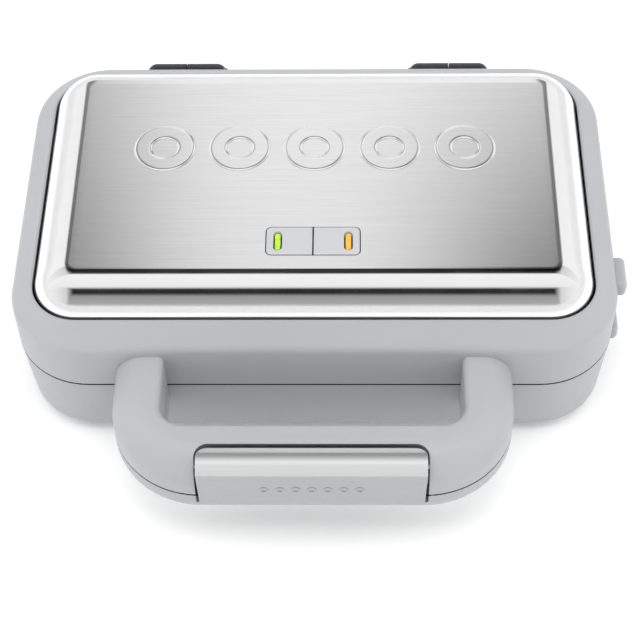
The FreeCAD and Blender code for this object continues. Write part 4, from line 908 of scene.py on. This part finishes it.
def surround():
    """A pale studio, drawn by direction only.

    Round an axis from left to right it has, from the front horizon up over the top to the
    back: a bright wall, a grey gap, a dark slot, a bright ceiling, a second dark slot and
    a bright panel behind. High up, that panel is a narrow lobe; low down it is wide. Dark
    gaps stand either side of it, and beyond them the walls are bright. The dark slots
    fade into the bright walls towards either side.
    """
    world = bpy.data.worlds.new("studio")
    bpy.context.scene.world = world
    world.use_nodes = True
    nodes, links = world.node_tree.nodes, world.node_tree.links
    background = nodes["Background"]
    background.inputs["Strength"].default_value = studio().sky
    coordinates = nodes.new("ShaderNodeTexCoord")

    def ramp(value, stops):
        node = nodes.new("ShaderNodeValToRGB")
        elements = node.color_ramp.elements
        while len(elements) < len(stops):
            elements.new(0.5)
        for element, (position, shade) in zip(elements, stops):
            element.position = position
            element.color = (shade, shade, shade, 1)
        links.new(value, node.inputs["Fac"])
        return node.outputs["Color"]

    def math_node(operation, *values):
        node = nodes.new("ShaderNodeMath")
        node.operation = operation
        for socket, value in zip(node.inputs, values):
            if isinstance(value, (int, float)):
                socket.default_value = value
            else:
                links.new(value, socket)
        return node.outputs["Value"]

    parts = nodes.new("ShaderNodeSeparateXYZ")
    links.new(coordinates.outputs["Generated"], parts.inputs["Vector"])
    forward = math_node("MULTIPLY", parts.outputs["Y"], -1.0)
    height = math_node("DIVIDE", math_node("ARCTAN2", parts.outputs["Z"], forward), math.pi)
    aside = math_node("ABSOLUTE", parts.outputs["X"])
    from_lobe = math_node("ABSOLUTE", math_node("ADD", parts.outputs["X"], 0.035))

    degrees = 1 / 180
    slots = ramp(height, [
        (0.0, 1.0), (9 * degrees, 0.95), (21 * degrees, 0.42), (39 * degrees, 0.34),
        (46 * degrees, 0.03), (56 * degrees, 0.02), (62 * degrees, 0.92), (93 * degrees, 0.98),
        (99 * degrees, 0.05), (118 * degrees, 0.03), (124 * degrees, 1.0), (1.0, 1.0)])
    corners = ramp(aside, [(0.0, 0.0), (0.20, 0.0), (0.46, 0.72), (1.0, 0.95)])
    slots = math_node("MAXIMUM", slots, corners)
    low_panel = ramp(aside, [(0.0, 0.96), (0.10, 0.92), (0.20, 0.30), (0.34, 0.22),
                             (0.41, 0.95), (1.0, 1.0)])
    gaps = ramp(aside, [(0.0, 0.09), (0.34, 0.10), (0.41, 0.95), (1.0, 1.0)])
    lobe = ramp(from_lobe, [(0.0, 0.90), (0.05, 0.84), (0.085, 0.55), (0.12, 0.24),
                            (0.16, 0.0), (1.0, 0.0)])
    high_panel = math_node("MAXIMUM", gaps, lobe)
    share = ramp(height, [(0.0, 1.0), (127 * degrees, 1.0), (137 * degrees, 0.0), (1.0, 0.0)])
    down = math_node("SUBTRACT", 1.0, share)
    back = math_node("ADD", math_node("MULTIPLY", high_panel, share),
                     math_node("MULTIPLY", low_panel, down))
    behind = ramp(height, [(0.0, 0.0), (100 * degrees, 0.0), (110 * degrees, 1.0), (1.0, 1.0)])
    ahead = math_node("SUBTRACT", 1.0, behind)
    shade = math_node("MULTIPLY", slots,
                      math_node("ADD", ahead, math_node("MULTIPLY", back, behind)))
    colour_node = nodes.new("ShaderNodeCombineColor")
    for socket in ("Red", "Green", "Blue"):
        links.new(shade, colour_node.inputs[socket])
    links.new(colour_node.outputs["Color"], background.inputs["Color"])


def worktop():
    """The pale floor: a wide flat disc, its outer part turned up in a gentle cove."""
    flat = np.linspace(FLOOR_HOLE, FLOOR_REACH, 24)
    cove = np.linspace(0, COVE_ANGLE, 14)[1:]
    radii = np.concatenate([flat, FLOOR_REACH + COVE_RADIUS * np.sin(cove)])
    rises = np.concatenate([np.zeros(len(flat)), COVE_RADIUS * (1 - np.cos(cove))])
    loops = [at_height(circle_loop(0.0, 0.0, radius, 96), rise)
             for radius, rise in zip(radii, rises)]
    rows, columns = len(loops), len(loops[0])
    faces = grid_faces(rows, columns, closed=True).tolist()
    faces.append(list(range(columns)))
    mesh = bpy.data.meshes.new("worktop")
    mesh.from_pydata(np.concatenate(loops).tolist(), [], faces)
    mesh.polygons.foreach_set("use_smooth", np.ones(len(mesh.polygons), bool))
    mesh.update()
    floor = bpy.data.objects.new("worktop", mesh)
    bpy.context.scene.collection.objects.link(floor)
    finish = Finish("worktop", (0.90, 0.90, 0.90), 0.0, 0.35)
    finish.rough(finish.noise(3.0), 0.30, 0.42)
    finish.set("Emission Color", (1.0, 1.0, 1.0, 1.0)).set("Emission Strength", 0.12)
    mesh.materials.append(finish.material)


def lights():
    setup = studio()
    softbox("overhead_softbox", (0.0, -0.1, 1.4), (0, 0, 0), 1.2, 0.9, setup.key)
    softbox("front_softbox", (0.0, -1.3, 0.45), (0, 0, 0.03), 1.4, 0.7, setup.front)
    for side, sign in SIDES.items():
        softbox(f"{side}_softbox", (sign * 1.2, -0.1, 0.7), (0, 0, 0.05), 0.9, 0.9, setup.fill)


# ---------------------------------------------------------------- operators and panel


class DONUTMAKER_OT_finishes(bpy.types.Operator):
    """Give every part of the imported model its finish"""
    bl_idname = "donutmaker.finishes"
    bl_label = "Part Finishes"

    def execute(self, context):
        finish_nodes()
        return {"FINISHED"}


class DONUTMAKER_OT_steel_top(bpy.types.Operator):
    """Press the steel top and its row of embossed rings"""
    bl_idname = "donutmaker.steel_top"
    bl_label = "Steel Top"

    def execute(self, context):
        steel_top()
        embossed_rings()
        return {"FINISHED"}


class DONUTMAKER_OT_gap_shadows(bpy.types.Operator):
    """Lay the near-black strips of painted shadow in the gap round the steel top and in the
    casings' joint
    """
    bl_idname = "donutmaker.seals"
    # These are painted shadow strips in the gaps, not seals.
    bl_label = "Gap_Shadows"

    def execute(self, context):
        cover_gap_shadow()
        seam_gap_shadows()
        return {"FINISHED"}


class DONUTMAKER_OT_latch(bpy.types.Operator):
    """Fold the latch clip and its small rings"""
    bl_idname = "donutmaker.latch"
    bl_label = "Latch Clip"

    def execute(self, context):
        latch_clip()
        latch_rings()
        return {"FINISHED"}


class DONUTMAKER_OT_lamp_panel(bpy.types.Operator):
    """Make the lamp panel's two faces, the dark piece of painted shadow in the gap round it, and
    its two lenses
    """
    bl_idname = "donutmaker.lamp_panel"
    bl_label = "Lamp Panel"

    def execute(self, context):
        for side, sign in SIDES.items():
            panel_half(side, sign)
        panel_gap_shadow()
        lamp_lens("power_lens", "green_lens")
        lamp_lens("ready_lens", "amber_lens")
        return {"FINISHED"}


class DONUTMAKER_OT_stage(bpy.types.Operator):
    """Set the floor, the lights and the camera"""
    bl_idname = "donutmaker.stage"
    bl_label = "Stage"

    def execute(self, context):
        context.scene.view_settings.view_transform = "Standard"
        camera()
        surround()
        lights()
        worktop()
        return {"FINISHED"}


OPERATORS = (DONUTMAKER_OT_finishes, DONUTMAKER_OT_steel_top, DONUTMAKER_OT_gap_shadows,
             DONUTMAKER_OT_latch, DONUTMAKER_OT_lamp_panel, DONUTMAKER_OT_stage)


class DONUTMAKER_PT_sidebar(bpy.types.Panel):
    """Lists the sizes, the colours and the makers"""
    bl_idname = "DONUTMAKER_PT_sidebar"
    bl_label = "Donut Maker"
    bl_space_type = "VIEW_3D"
    bl_region_type = "UI"
    bl_category = "Donut Maker"

    def draw(self, context):
        layout = self.layout
        for name in GROUPS:
            group = getattr(context.scene, name)
            box = layout.box()
            box.label(text=group.bl_rna.description)
            for key in group.__annotations__:
                box.prop(group, key)
        for operator in OPERATORS:
            layout.operator(operator.bl_idname)


GROUPS = {"donut_maker_sizes": DonutMakerSizes, "donut_maker_colours": DonutMakerColours,
          "donut_maker_studio": DonutMakerStudio}
CLASSES = (*GROUPS.values(), *OPERATORS, DONUTMAKER_PT_sidebar)


def register():
    for cls in CLASSES:
        bpy.utils.register_class(cls)
    for name, group in GROUPS.items():
        setattr(bpy.types.Scene, name, PointerProperty(type=group))


def unregister():
    for name in GROUPS:
        delattr(bpy.types.Scene, name)
    for cls in reversed(CLASSES):
        bpy.utils.unregister_class(cls)


def main():
    register()
    bpy.ops.donutmaker.finishes()
    bpy.ops.donutmaker.steel_top()
    bpy.ops.donutmaker.seals()
    bpy.ops.donutmaker.latch()
    bpy.ops.donutmaker.lamp_panel()
    bpy.ops.donutmaker.stage()


if __name__ == "__main__":
    main()
